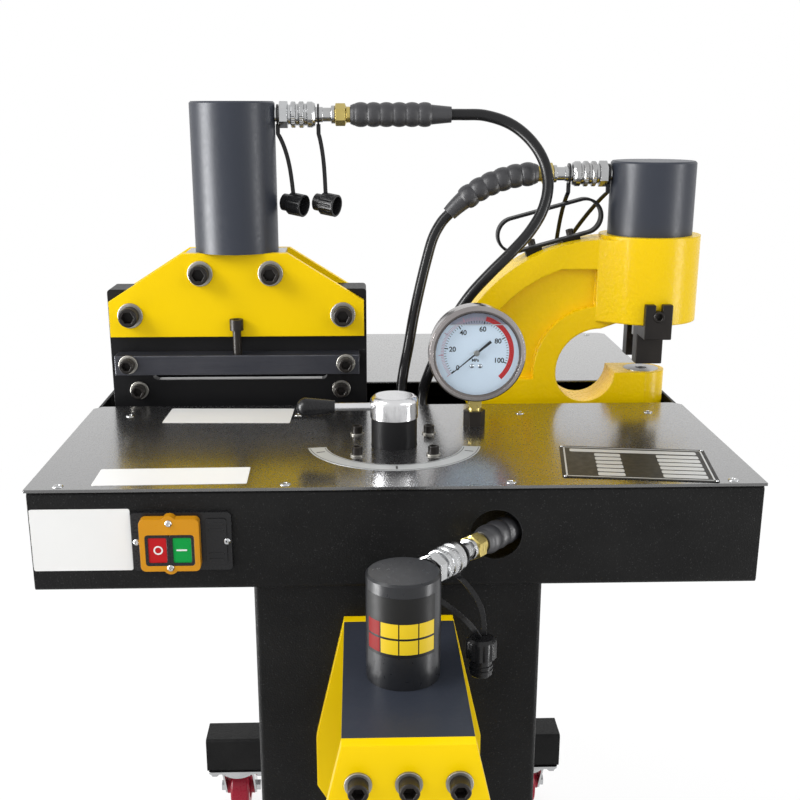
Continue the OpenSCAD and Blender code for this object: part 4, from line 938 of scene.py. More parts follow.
@dataclass
class Studio:
    """Pale floor, soft light and the photograph's camera.

    Attributes:
        place: Camera place.
        pitch: Angle below the horizon, in degrees.
        yaw: Turn to the left, in degrees.
        lens: Focal length for a 36 mm sensor.
        shift: Sensor shift across and up.
    """

    place: tuple[float, float, float] = (-0.0365, -1.3649, 1.1862)
    pitch: float = 16.5333
    yaw: float = -1.7278
    lens: float = 50.444
    shift: tuple[float, float] = (0.01, 0.05)

    def build(self) -> None:
        """Makes the camera, the floor, the world and the lamps."""
        self.camera()
        self.floor()
        self.world()
        self.lamp("key", (-1.9, -1.0, 2.3), (0.0, -0.1, 0.8), (1.2, 1.2), 38.0)
        self.lamp("fill", (1.8, -1.9, 1.9), (0.0, 0.0, 0.8), (1.4, 1.4), 7.0)
        self.lamp("back", (1.1, 2.3, 2.1), (0.1, -0.1, 0.85), (1.8, 1.8), 40.0, gloss=False)
        self.lamp("left_strip", (-1.65, -0.50, 0.85), (-0.1, 0.0, 1.0), (0.70, 1.5), 90.0, diffuse=False)
        self.lamp("right_strip", (1.6, -0.75, 0.75), (0.1, 0.0, 1.0), (0.30, 1.5), 22.0, diffuse=False)

    def camera(self) -> None:
        """Makes the camera and the view settings."""
        data = bpy.data.cameras.new("camera")
        data.lens, data.sensor_width = self.lens, 36.0
        data.shift_x, data.shift_y = self.shift
        cam = into_scene(bpy.data.objects.new("camera", data))
        cam.location = self.place
        cam.rotation_euler = (math.radians(90 - self.pitch), 0.0, math.radians(self.yaw))
        bpy.context.scene.camera = cam
        bpy.context.scene.view_settings.view_transform = "Standard"

    @staticmethod
    def seen_white(tree: bpy.types.NodeTree) -> bpy.types.NodeSocket:
        """Gives 1 for rays that show the background, directly or in metal and glass.

        Args:
            tree: Node tree to add to.

        Returns:
            The mask's socket.
        """
        path = tree.nodes.new("ShaderNodeLightPath")
        total = path.outputs["Is Camera Ray"]
        for name in ("Is Glossy Ray", "Is Transmission Ray"):
            total = worked_out(tree, "MAXIMUM", total, path.outputs[name])
        return total

    @staticmethod
    def fading(tree: bpy.types.NodeTree) -> bpy.types.NodeSocket:
        """Gives the floor's share of plain white, which is whole far from the machine.

        Args:
            tree: Node tree to add to.

        Returns:
            The share's socket.
        """
        coord, reach = tree.nodes.new("ShaderNodeTexCoord"), tree.nodes.new("ShaderNodeVectorMath")
        reach.operation = "LENGTH"
        share = tree.nodes.new("ShaderNodeMapRange")
        for name, value in (("From Min", 0.8), ("From Max", 2.6), ("To Min", 0.80), ("To Max", 1.0)):
            share.inputs[name].default_value = value
        tree.links.new(coord.outputs["Object"], reach.inputs[0])
        tree.links.new(reach.outputs["Value"], share.inputs["Value"])
        return share.outputs["Result"]

    def floor(self) -> None:
        """Makes the pale floor, which keeps the machine's shadow."""
        made = bmesh.new()
        bmesh.ops.create_grid(made, x_segments=2, y_segments=2, size=14.0)
        mesh = drawn(made, "floor")
        mat = bpy.data.materials.new("pale_floor")
        mat.use_nodes = True
        tree = mat.node_tree
        shader = tree.nodes["Principled BSDF"]
        shader.inputs["Base Color"].default_value = (0.93, 0.93, 0.93, 1)
        shader.inputs["Roughness"].default_value = 0.9
        share = worked_out(tree, "MULTIPLY", self.seen_white(tree), self.fading(tree))
        two_surfaces(tree, share, shader, tree.nodes.new("ShaderNodeEmission"))
        mesh.materials.append(mat)
        into_scene(bpy.data.objects.new("floor", mesh))

    def world(self) -> None:
        """Makes a white world that lights softly."""
        world = bpy.data.worlds.new("studio")
        bpy.context.scene.world = world
        world.use_nodes = True
        tree = world.node_tree
        back = tree.nodes["Background"]
        back.inputs["Color"].default_value = (1, 1, 1, 1)
        level = tree.nodes.new("ShaderNodeMapRange")
        level.inputs["To Min"].default_value = 0.85
        level.inputs["To Max"].default_value = 1.0
        tree.links.new(self.seen_white(tree), level.inputs["Value"])
        tree.links.new(level.outputs["Result"], back.inputs["Strength"])

    @staticmethod
    def lamp(name: str, place: Sequence[float], aim: Sequence[float], size: tuple[float, float], power: float,
             diffuse: bool = True, gloss: bool = True) -> None:
        """Adds one soft area lamp.

        Args:
            name: Lamp name.
            place: Where it stands.
            aim: What it points at.
            size: Its width and height.
            power: Its power in watts.
            diffuse: Whether it lights matt surfaces.
            gloss: Whether it shows as a highlight.
        """
        data = bpy.data.lights.new(name, "AREA")
        data.shape, data.energy = "RECTANGLE", power
        data.size, data.size_y = size
        lamp = into_scene(bpy.data.objects.new(name, data))
        lamp.location = place
        lamp.rotation_euler = (Vector(aim) - Vector(place)).to_track_quat("-Z", "Y").to_euler()
        lamp.visible_camera, lamp.visible_diffuse, lamp.visible_glossy = False, diffuse, gloss


@dataclass
class HydraulicHose:
    """One free hose, from its sleeve down to the valve under the cover.

    Attributes:
        name: Piece name.
        node: The solid that it stands for.
        route: Points sideways, in depth and above the table, in millimetres.
        diameter: Outside diameter in metres.
        steps: Points between two points of the route.
    """

    name: str
    node: str
    route: Sequence[tuple[float, float, float]]
    diameter: float = 0.013
    steps: int = 6

    def points(self) -> list[Vector]:
        """Gives the smooth centre line in metres."""
        p = [Vector((x / 1000, y / 1000, TABLE_TOP + z / 1000)) for x, y, z in self.route]
        line = []
        for i in range(len(p) - 1):
            a, b, c, d = p[max(i - 1, 0)], p[i], p[i + 1], p[min(i + 2, len(p) - 1)]
            for k in range(self.steps):
                t = k / self.steps
                line.append(0.5 * (2 * b + (c - a) * t + (2 * a - 5 * b + 4 * c - d) * t ** 2
                                   + (3 * b - a - 3 * c + d) * t ** 3))
        return [*line, p[-1]]

    def build(self) -> bpy.types.Object:
        """Returns:
            The hose piece.
        """
        line = self.points()
        curve = bpy.data.curves.new(self.name, "CURVE")
        curve.dimensions, curve.bevel_depth, curve.bevel_resolution = "3D", self.diameter / 2, 6
        curve.use_fill_caps = True
        spline = curve.splines.new("POLY")
        spline.points.add(len(line) - 1)
        for point, place in zip(spline.points, line):
            point.co = (*place, 1.0)
        curve.materials.append(HOSE_RUBBER.material())
        hose = into_scene(bpy.data.objects.new(self.name, curve))
        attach(hose, ROOT)
        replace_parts(hose, self.node)
        return hose


CUTTER_ROUTE = ((73, -15, 333), (87, -15, 333), (112, -18, 332), (140, -25, 323), (162, -35, 306), (177, -46, 283),
                (182, -56, 257), (176, -65, 230), (161, -71, 205), (140, -75, 182), (116, -75, 158), (93, -70, 131),
                (74, -62, 99), (60, -51, 64), (49, -38, 33), (42, -28, 6), (40, -36, -22), (40, -56, -42),
                (40, -84, -50), (40, -116, -50), (40, -150, -50))
PUNCH_ROUTE = ((72.2, -15, 219.9), (62.8, -15, 209.5), (53, -15, 191), (45, -17, 163), (37, -20, 130), (30, -22, 97),
               (24, -25, 62), (18, -27, 31), (15, -28, 6), (14, -36, -22), (14, -56, -42), (14, -84, -50),
               (14, -116, -50), (14, -150, -50))


@dataclass
class Couplings:
    """Quick couplings, brass nuts, ribbed sleeves and dust caps of the three hoses.

    Attributes:
        cutter: Port face on the cutter's cylinder.
        punch: Port face on the punch's cylinder.
        bender: Axis of the bender's cylinder at its port.
        bender_turn: Direction of the bender's port from +X, in radians.
        coupler_len: Length of a coupling from its port face.
        nut_len: Length of the brass nut.
        sleeve_len: Length of a sleeve.
        sleeve_arc: Radius of the punch sleeve's bend.
        rings: Distance from the port face and bore of the two straps' rings.
        strap: Width and thickness of a strap.
    """

    cutter: Vector = field(default_factory=lambda: Vector((-0.131, TOOL_Y, TABLE_TOP + 0.333)))
    punch: Vector = field(default_factory=lambda: Vector((0.263, TOOL_Y, TABLE_TOP + 0.266)))
    bender: Vector = field(default_factory=lambda: Vector((0.0, BENDER_Y, TABLE_TOP - 0.050)))
    bender_turn: float = math.atan2(0.1125, 0.093)
    coupler_len: float = 0.069
    nut_len: float = 0.018
    sleeve_len: float = 0.117
    sleeve_arc: float = 0.140
    rings: tuple[tuple[float, float], ...] = ((0.002, 0.0083), (0.049, 0.0088))
    strap: tuple[float, float] = (0.0048, 0.0018)

    def ports(self) -> list[Matrix]:
        """Gives the place of each coupling, with its axis along X from the port face."""
        turn = Matrix.Rotation(self.bender_turn, 4, "Z")
        return [Matrix.Translation(self.cutter),
                Matrix.Translation(self.punch) @ Matrix.Rotation(math.pi, 4, "Z"),
                Matrix.Translation(self.bender) @ turn @ Matrix.Translation((BENDER_RADIUS, 0, 0))]

    def frames(self) -> list[Matrix]:
        """Gives the place of each coupling, with its axis along Z from the port face."""
        return [port @ Matrix.Rotation(math.pi / 2, 4, "Y") for port in self.ports()]

    def build(self) -> None:
        """Makes every fitting."""
        self.couplers()
        self.nuts()
        self.sleeves()
        self.caps()

    def couplers(self) -> None:
        """Makes the couplings with a hexagon, a knurled locking ring and a stepped neck."""
        hexa, knurl = RingShape.HEX, RingShape.KNURL
        rows = [(0.0, 0.008), (0.0046, 0.008), (0.005, 0.0122, hexa), (0.0056, 0.0130, hexa), (0.0144, 0.0130, hexa),
                (0.015, 0.0122, hexa), (0.0154, 0.0112), (0.0178, 0.0112), (0.0184, 0.0136), (0.0194, 0.0146, knurl),
                (0.0232, 0.0146, knurl), (0.0240, 0.0136), (0.0248, 0.0122), (0.0268, 0.0122), (0.0276, 0.0136),
                (0.0288, 0.0147, knurl), (0.0326, 0.0147, knurl), (0.0334, 0.0138), (0.0344, 0.0124),
                (0.0364, 0.0124), (0.0370, 0.0138), (0.0380, 0.0146), (0.0432, 0.0146), (0.0440, 0.0138),
                (0.0464, 0.0126), (0.0470, 0.0086), (0.0550, 0.0086), (0.0556, 0.0078), (0.0644, 0.0078),
                (0.0650, 0.0098), (0.0656, 0.0102), (0.0684, 0.0102), (0.0690, 0.0098)]
        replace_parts(MeshKit.turned_set("coupling_bodies", rows, self.frames(), ZINC_STEEL), "quick_couplers")

    def nuts(self) -> None:
        """Makes the chamfered brass nuts with a collar behind each."""
        hexa, start, end = RingShape.HEX, self.coupler_len, self.coupler_len + self.nut_len
        rows = [(start, 0.0096), (start + 0.0012, 0.0110, hexa), (start + 0.0118, 0.0110, hexa),
                (start + 0.0130, 0.0100), (start + 0.0136, 0.0090), (end - 0.0005, 0.0090), (end, 0.0086)]
        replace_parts(MeshKit.turned_set("brass_nuts", rows, self.frames(), BRASS), "hose_nuts")

    def sleeve_radius(self, s: float) -> float:
        """Gives a sleeve's radius along its length.

        Args:
            s: Share of the length, from the nut.

        Returns:
            The radius in metres.
        """
        if s < 0.04:
            return 0.0105 + 0.05 * s
        if s < 0.80:
            return 0.0118 + 0.0022 * abs(math.sin(math.pi * (s - 0.04) / 0.76 * 6)) ** 0.6
        return 0.0112 - 0.0022 * ((s - 0.80) / 0.20)

    def sleeves(self) -> None:
        """Makes the ribbed sleeves: two straight, and the punch's bent down."""
        steps, parts = 120, []
        start = self.coupler_len + self.nut_len
        radii = [self.sleeve_radius(i / steps) for i in range(steps + 1)]
        for number, frame in enumerate(self.frames()):
            path = []
            for i in range(steps + 1):
                along = self.sleeve_len * i / steps
                if number == 1:
                    turn = along / self.sleeve_arc
                    drop = self.sleeve_arc * (1 - math.cos(turn))
                    point = frame @ Vector((0, 0, start + self.sleeve_arc * math.sin(turn)))
                    path.append(point - Vector((0, 0, drop)))
                else:
                    path.append(frame @ Vector((0, 0, start + along)))
            parts.append(MeshKit.swept(path, radii))
        made = MeshKit.joined(parts)
        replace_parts(MeshKit.piece("ribbed_sleeves", made, SLEEVE_RUBBER, sharp=60), "hose_sleeves")

    def ring(self, frame: Matrix, along: float, bore: float) -> bmesh.types.BMesh:
        """Makes the strap's ring round a coupling.

        Args:
            frame: The coupling's place.
            along: Distance from the port face.
            bore: Radius inside the ring.

        Returns:
            The mesh.
        """
        rows = [(along, bore), (along, bore + 0.0034), (along + 0.002, bore + 0.0034), (along + 0.002, bore)]
        return MeshKit.hollow(rows, frame)

    def hanging(self, a: Vector, b: Vector, bow: Vector) -> bmesh.types.BMesh:
        """Makes a strap that drops from its ring and bows on the way to its cap.

        Args:
            a: Upper end.
            b: Lower end.
            bow: How far the middle leaves the straight line.

        Returns:
            The mesh.
        """
        low = a - Vector((0, 0, 0.011))
        path = [a] + [low.lerp(b, (k / 16) ** 1.3) + bow * math.sin(math.pi * k / 16) for k in range(17)]
        return MeshKit.ribbon(path, *self.strap, Vector((1, 0, 0)))

    def caps(self) -> None:
        """Makes the dust caps and their straps at the three couplings."""
        ports, frames, parts = self.ports(), self.frames(), []
        cup = [(-0.015, 0.0072), (-0.0145, 0.0080), (-0.0130, 0.0100), (-0.0045, 0.0100), (-0.0040, 0.0122),
               (-0.0032, 0.0130, RingShape.FLUTE), (0.0120, 0.0130, RingShape.FLUTE), (0.0126, 0.0130),
               (0.0145, 0.0130), (0.0150, 0.0126), (0.0150, 0.0108), (0.0144, 0.0105), (0.0015, 0.0105),
               (0.0010, 0.0100)]
        pair = [(-0.0380, 0.0072), (-0.0375, 0.0090), (-0.0360, 0.0102), (-0.0330, 0.0102), (-0.0324, 0.0110),
                (-0.0306, 0.0110), (-0.0300, 0.0100), (-0.0286, 0.0100), (-0.0280, 0.0110), (-0.0262, 0.0110),
                (-0.0256, 0.0100), (-0.0205, 0.0100), (-0.0200, 0.0126), (-0.0190, 0.0140, RingShape.FLUTE),
                (-0.0030, 0.0140, RingShape.FLUTE), (-0.0020, 0.0132), (0.0, 0.0105)]
        lay = Matrix.Rotation(math.radians(-28), 4, "Z") @ Matrix.Rotation(math.radians(98), 4, "Y")
        for number, ((along, bore), cap_x) in enumerate(zip(self.rings, (0.019, 0.057))):
            hook, cap = (ports[0] @ Vector(p) for p in ((along + 0.001, 0, -0.0105), (cap_x, 0, -0.101)))
            bow = Vector((0.004 - 0.002 * number, 0, 0))
            parts += [self.ring(frames[0], along, bore), self.hanging(hook, cap + Vector((0, 0, 0.0125)), bow),
                      MeshKit.turned(cup, Matrix.Translation(cap) @ lay)]
        pairs = ((ports[1], frames[1], Vector((0.050, -0.049, -0.095)), 0.004),
                 (ports[2], frames[2], Vector((0.046, -0.030, -0.072)), 0.0035))
        for port, frame, cap, spread in pairs:
            bow = port.to_3x3() @ Vector((0, -0.012, 0))
            for side, (along, bore) in zip((-1, 1), self.rings):
                hook = port @ Vector((along + 0.001, 0, -0.0105))
                end = port @ (cap + Vector((spread * side, 0, 0.001)))
                parts += [self.ring(frame, along, bore), self.hanging(hook, end, bow)]
            parts.append(MeshKit.turned(pair, Matrix.Translation(port @ cap)))
        made = MeshKit.joined(parts)
        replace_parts(MeshKit.piece("dust_caps_on_straps", made, replace(MOULDED_BLACK, slot="rubber")), "dust_caps")


@dataclass
class Fasteners:
    """Socket screws, washers, nuts and the covers' dome screws.

    Attributes:
        spread: The tree that copies pieces to points.
    """

    spread: PointSpread

    def build(self) -> None:
        """Makes all the fasteners."""
        self.front_screws()
        self.valve_screws()
        self.punch_screws()
        self.rear_nuts()
        self.dome_screws()
        self.caster_bolts()

    @staticmethod
    def head() -> bmesh.types.BMesh:
        """Gives a socket head of unit thread size, seated on its washer."""
        knurl, hexa = RingShape.KNURL, RingShape.HEX
        return MeshKit.turned([(0.19, 0.64), (0.22, 0.69), (0.30, 0.69, knurl), (1.06, 0.69, knurl), (1.12, 0.69),
                               (1.20, 0.61), (1.20, 0.43, hexa), (1.16, 0.39, hexa), (0.45, 0.39, hexa)])

    @staticmethod
    def washer() -> bmesh.types.BMesh:
        """Gives a washer of unit thread size."""
        return MeshKit.turned([(0.0, 0.90), (0.02, 0.92), (0.17, 0.92), (0.20, 0.88), (0.20, 0.60)])

    def front_points(self) -> list[tuple[Vector, float]]:
        """Gives the place and thread size of each screw that faces forward."""
        rows = []
        for side in (-1, 1):
            rows += [(CUTTER_X + side * 0.041, CUTTER_FRONT, 0.155, 0.016),
                     (CUTTER_X + side * 0.125, CUTTER_FRONT, 0.106, 0.016),
                     (CUTTER_X + side * 0.128, -0.065, 0.0505, 0.012),
                     (CUTTER_X + side * 0.122, -0.038, 0.013, 0.012),
                     (side * 0.040, BENDER_FRONT, -0.169, 0.012), (side * 0.025, BENDER_FRONT, -0.349, 0.012)]
        rows.append((0.0, BENDER_FRONT, -0.169, 0.012))
        return [(Vector((x, y, TABLE_TOP + z)), d) for x, y, z, d in rows]

    def front_screws(self) -> None:
        """Makes the screws on the cutter and the bender."""
        turn, points = (math.pi / 2, 0, 0), self.front_points()
        self.spread.make("front_washers", points, self.washer(), WASHER_STEEL, turn)
        heads = self.spread.make("front_screw_heads", points, self.head(), BLACK_OXIDE, turn)
        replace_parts(heads, "plate_bolts")

    def valve_screws(self) -> None:
        """Makes the screws round the valve hub."""
        points = [(Vector((VALVE_PLACE[0] + x, VALVE_PLACE[1] + y, TABLE_TOP)), 0.008)
                  for x in (-0.039, 0.039) for y in (-0.039, 0.039)]
        self.spread.make("valve_washers", points, self.washer(), WASHER_STEEL)
        self.spread.make("valve_screw_heads", points, self.head(), BLACK_OXIDE)

    def punch_screws(self) -> None:
        """Makes the screws in the strippers' slots and the bolts of the carrying handle."""
        height, tab = TABLE_TOP + 0.107, 0.060
        for name, y, turn in (("front", TOOL_Y - tab, math.pi / 2), ("rear", TOOL_Y + tab, -math.pi / 2)):
            points = [(Vector((PUNCH_X, y, height)), 0.0095)]
            self.spread.make(f"stripper_screw_{name}", points, self.head(), BLACK_OXIDE, (turn, 0, 0))
        tilt, radius, grip = math.radians(15.0), 0.0184, Vector((PUNCH_X - 0.121, TOOL_Y, TABLE_TOP + 0.206))
        along, up = Vector((math.cos(tilt), 0, math.sin(tilt))), Vector((-math.sin(tilt), 0, math.cos(tilt)))
        points = [(grip + along * x - up * radius, 0.0065) for x in (-0.025, 0.022)]
        self.spread.make("handle_bolts", points, self.head(), BLACK_OXIDE, (0, -tilt, 0))

    def rear_nuts(self) -> None:
        """Makes the nuts behind the cutter."""
        through = Vector((0, CUTTER_BACK - CUTTER_FRONT, 0))
        points = [(p + through, d) for p, d in self.front_points() if d > 0.015]
        hexa = RingShape.HEX
        nut = MeshKit.turned([(0.0, 0.70), (0.04, 0.75, hexa), (0.76, 0.75, hexa), (0.81, 0.68), (0.81, 0.52),
                              (0.95, 0.50), (1.0, 0.44)])
        self.spread.make("rear_nuts", points, nut, BLACK_OXIDE, (-math.pi / 2, 0, 0))

    def dome_screws(self) -> None:
        """Makes the dome screws that hold the two covers."""
        places = [(x, -0.360) for x in (-0.320, -0.107, 0.107, 0.320)]
        places += [(x, -0.111) for x in (-0.300, -0.107, 0.150, 0.300)]
        places += [(x, y) for x in (-0.320, -0.107, 0.107, 0.320) for y in (0.085, 0.355)]
        points = [(Vector((x, y, TABLE_TOP)), 0.0045) for x, y in places]
        dome = MeshKit.turned([(0.0, 1.15), (0.08, 1.14), (0.20, 1.02), (0.28, 0.80), (0.32, 0.52), (0.33, 0.42),
                               (0.18, 0.36), (0.18, 0.10)])
        self.spread.make("cover_screws", points, dome, ZINC_STEEL, sharp=50)

    def caster_bolts(self) -> None:
        """Makes the bolt heads under the corners of each caster plate."""
        points = [(Vector((cx * 0.25 + x, cy * 0.34 + y, 0.099)), 0.008) for cx in (-1, 1) for cy in (-1, 1)
                  for x in (-0.038, 0.038) for y in (-0.0235, 0.0235)]
        hexa = RingShape.HEX
        head = MeshKit.turned([(0.0, 1.0), (0.15, 1.0), (0.16, 0.80, hexa), (0.72, 0.80, hexa), (0.80, 0.70),
                               (0.80, 0.30)])
        self.spread.make("caster_bolts", points, head, ZINC_STEEL, (math.pi, 0, 0))


@dataclass
class Labels:
    """Bare plates and films on the table, the apron and the bender's cylinder.

    Attributes:
        film: Thickness of a film.
    """

    film: float = 0.0003

    def build(self) -> None:
        """Makes every label."""
        for name, place, size in (
                ("table_label_front", on_table(-0.217, -0.333, 1.0), (0.146, 0.050)),
                ("table_label_back", on_table(-0.186, -0.112, -2.0), (0.144, 0.062)),
                ("apron_label", facing_front(-0.300, APRON_Y, TABLE_TOP - 0.051), (0.094, 0.062))):
            film = MeshKit.plate(MeshKit.rounded(*size, 0.002), self.film, place)
            MeshKit.piece(name, film, FILM_WHITE)
        self.nameplate()
        self.valve_scale()
        self.cylinder_band()

    def nameplate(self) -> None:
        """Makes the dark plate with a border, bare cells in rows and corner rivets."""
        place = on_table(0.239, -0.306, -8.0)
        made = MeshKit.plate(MeshKit.rounded(0.148, 0.104, 0.003), 0.0007, place)
        MeshKit.piece("name_plate", made, FILM_BLACK)
        above = place @ Matrix.Translation((0, 0, 0.0007))
        bars = [((0, y), (0.1408, 0.0016)) for y in (-0.0478, 0.0478)] + [((0, 0.0375), (0.128, 0.0100))]
        bars += [((x, 0.0), (0.0016, 0.0972)) for x in (-0.0696, 0.0696)]
        bars += [((x, 0.0235 - 0.0125 * k), (wide, 0.0098)) for x, wide in ((-0.0265, 0.026), (0.0435, 0.042))
                 for k in range(6)]
        rules = [MeshKit.plate(MeshKit.rounded(*size, min(size) * 0.2, 2), 0.0001,
                               above @ Matrix.Translation((*middle, 0))) for middle, size in bars]
        MeshKit.piece("name_plate_rules", MeshKit.joined(rules), FILM_SILVER)
        dome = [(0.0, 0.0016), (0.0006, 0.0015), (0.0010, 0.0009), (0.0011, 0.0003)]
        corners = [above @ Matrix.Translation((x, y, 0)) for x in (-0.0715, 0.0715) for y in (-0.0495, 0.0495)]
        MeshKit.turned_set("name_plate_rivets", dome, corners, ZINC_STEEL, sharp=60)

    def valve_scale(self) -> None:
        """Makes the arc under the lever, with plain marks for its positions."""
        place = on_table(*VALVE_PLACE)
        MeshKit.piece("valve_scale", MeshKit.sector(0.072, 0.091, -172, -8, self.film, place), FILM_SILVER)
        above = place @ Matrix.Translation((0, 0, self.film))
        marks = [MeshKit.sector(r, r + 0.0007, -170, -10, 0.0001, above) for r in (0.0735, 0.0888)]
        marks += [MeshKit.sector(0.077, 0.086, a - 0.7, a + 0.7, 0.0001, above) for a in (-160, -90, -20)]
        MeshKit.piece("valve_scale_marks", MeshKit.joined(marks), INK_BLACK)

    def cylinder_band(self) -> None:
        """Makes the bender cylinder's bare label: a black field with two rows of yellow cells and red ones."""
        cells = [(FILM_BLACK, "bender_label", 0.0327, -160, -38, -0.104, -0.050)]
        for row, low in enumerate((-0.101, -0.086)):
            cells.append((FILM_RED, f"bender_label_red_{row}", 0.0328, -156, -130, low, low + 0.013))
            for number, start in enumerate((-128, -98, -68)):
                cells.append((FILM_YELLOW, f"bender_label_cell_{row}_{number}", 0.0328, start,
                              start + 28, low, low + 0.013))
        for finish, name, radius, start, end, low, high in cells:
            rows = []
            for k in range(33):
                turn = math.radians(start + (end - start) * k / 32)
                out = Vector((math.cos(turn), math.sin(turn), 0))
                base = Vector((0.0, BENDER_Y, TABLE_TOP))
                rows.append([base + out * r + Vector((0, 0, z))
                             for r, z in ((BENDER_RADIUS, low), (radius, low), (radius, high), (BENDER_RADIUS, high))])
            MeshKit.piece(name, MeshKit.skin(rows), finish)


@dataclass
class PressureGauge:
    """Printing, pointer and filling of the gauge.

    Attributes:
        centre: Middle of the dial's printed face.
        start: Turn of zero from upright, clockwise, in degrees.
        sweep: Whole turn of the scale, in degrees.
        radius: Radius of the scale line.
        inside: Radius of the open dial.
        level: Height of the filling's surface above the middle.
    """

    centre: tuple[float, float, float] = (0.092, -0.1661, TABLE_TOP + 0.084)
    start: float = -130.0
    sweep: float = 240.0
    radius: float = 0.0355
    inside: float = 0.0476
    level: float = 0.0310

    def place(self, lift: float = 0.0) -> Matrix:
        """Gives the dial's plane: X right, Y up, looking forward.

        Args:
            lift: Distance in front of the printed face.

        Returns:
            The plane's place.
        """
        return facing_front(*self.centre) @ Matrix.Translation((0, 0, lift))

    def build(self) -> None:
        """Makes the scales, the numbers, the fields and the pointer."""
        self.scales()
        self.print_words()
        self.fields()
        self.pointer()
        self.inner_ring()

    def scales(self) -> None:
        """Prints the black scale and the fine outer one."""
        marks = DialMarks()
        sets = (("dial_fine_marks", 51, 0.0024, 0.00055, self.radius, self.sweep, INK_BLACK),
                ("dial_main_marks", 6, 0.0042, 0.00110, self.radius, self.sweep, INK_BLACK),
                ("dial_outer_marks", 59, 0.0026, 0.00045, self.radius + 0.0036, 144.0, SCALE_PINK),
                ("dial_outer_main_marks", 5, 0.0050, 0.00080, self.radius + 0.0060, 144.0, SCALE_PINK))
        for name, count, length, width, outer, sweep, finish in sets:
            marks.make(name, self.place(), {"Count": count, "Step": -math.radians(sweep) / (count - 1),
                                            "Start": -math.radians(self.start), "Radius": outer - length / 2,
                                            "Length": length, "Width": width}, finish)

    def fields(self) -> None:
        """Prints the red field, paints shade on the dial above the filling, and makes the two pins and the filling's
        surface line, a painted highlight.
        """
        behind, sector = self.place(-0.00005), MeshKit.sector
        red = sector(0.0360, 0.0412, 75, -47, 0.00004, behind)
        MeshKit.piece("dial_red_field", red, DIAL_RED)
        line = sector(self.radius + 0.0004, self.radius + 0.0007, 220, 76, 0.00004, self.place())
        MeshKit.piece("dial_scale_line", line, SCALE_PINK)
        rows = [(0.0, 0.0024), (0.0006, 0.0022), (0.0010, 0.0014), (0.0011, 0.0004)]
        pins = [self.place() @ Matrix.Translation((x, -0.0150, 0)) for x in (-0.0046, 0.0046)]
        MeshKit.turned_set("dial_pins", rows, pins, ZINC_STEEL, sharp=60)
        # Painted shade: a grey segment on the dial above the filling stands in for the darker look of the dial behind
        # the air gap.
        half = math.acos(self.level / self.inside)
        turns = [math.pi / 2 + half * (1 - k / 16) for k in range(33)]
        rim = [(self.inside * math.cos(t), self.inside * math.sin(t)) for t in turns]
        shade = MeshKit.plate(list(reversed(rim)), 0.00003, self.place(-0.00009))
        MeshKit.piece("dial_above_filling", shade, DIAL_PAINTED_SHADE)
        # Painted highlight: a white strip at the filling's level stands in for the bright line of its surface.
        width = 2 * self.inside * math.sin(half)
        surface = MeshKit.plate(MeshKit.rounded(width, 0.0009, 0.0004, 3), 0.0003,
                                self.place(0.0010) @ Matrix.Translation((0, self.level, 0)))
        MeshKit.piece("filling_surface", surface, FILM_WHITE)

    def pointer(self) -> None:
        """Makes the slim pointer with its broad tail and its hub, at zero."""
        turn = Matrix.Rotation(-math.radians(self.start), 4, "Z")
        outline = [(0.0003, 0.0355), (-0.0003, 0.0355), (-0.0008, 0.003), (-0.0011, -0.003), (-0.0016, -0.020),
                   (0.0016, -0.020), (0.0011, -0.003), (0.0008, 0.003)]
        blade = MeshKit.plate(outline, 0.0008, self.place(0.0034) @ turn)
        blade = MeshKit.piece("pointer_blade", blade, INK_BLACK, "gauge_pointer")
        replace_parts(blade, "gauge_needle")
        rows = [(-0.0009, 0.0015), (0.0019, 0.0015), (0.0020, 0.0032), (0.0044, 0.0032), (0.0048, 0.0028),
                (0.0049, 0.0012)]
        hub = MeshKit.turned(rows, self.place())
        MeshKit.piece("pointer_hub", hub, WASHER_STEEL, "gauge_pointer")

    def inner_ring(self) -> None:
        """Makes the dark ring that holds the glass inside the bright bezel."""
        rows = [(0.0096, 0.0452), (0.0102, 0.0456), (0.0108, 0.0478), (0.0108, 0.0496), (0.0096, 0.0496)]
        MeshKit.piece("gauge_glass_ring", MeshKit.hollow(rows, self.place()), RING_DARK)

    def print_words(self) -> None:
        """Prints 0 to 100 round the dial and the unit below its middle."""
        parts, reach = [], self.radius - 0.0090
        words = [("MPa", 0.0046, (-0.001, -0.0086))]
        for value in range(0, 101, 20):
            turn = math.radians(self.start + self.sweep * value / 100)
            words.append((str(value), 0.0076, (reach * math.sin(turn), reach * math.cos(turn))))
        for body, size, (x, y) in words:
            text = bpy.data.curves.new("number", "FONT")
            text.body, text.size, text.offset = body, size, 0.025 * size
            text.align_x, text.align_y = "CENTER", "CENTER"
            mesh = plain_mesh(into_scene(bpy.data.objects.new("number", text)), "number")
            mesh.transform(self.place() @ Matrix.Translation((x, y, 0)))
            part = bmesh.new()
            part.from_mesh(mesh)
            bpy.data.meshes.remove(mesh)
            parts.append(part)
        MeshKit.piece("dial_numbers", MeshKit.joined(parts), INK_BLACK)


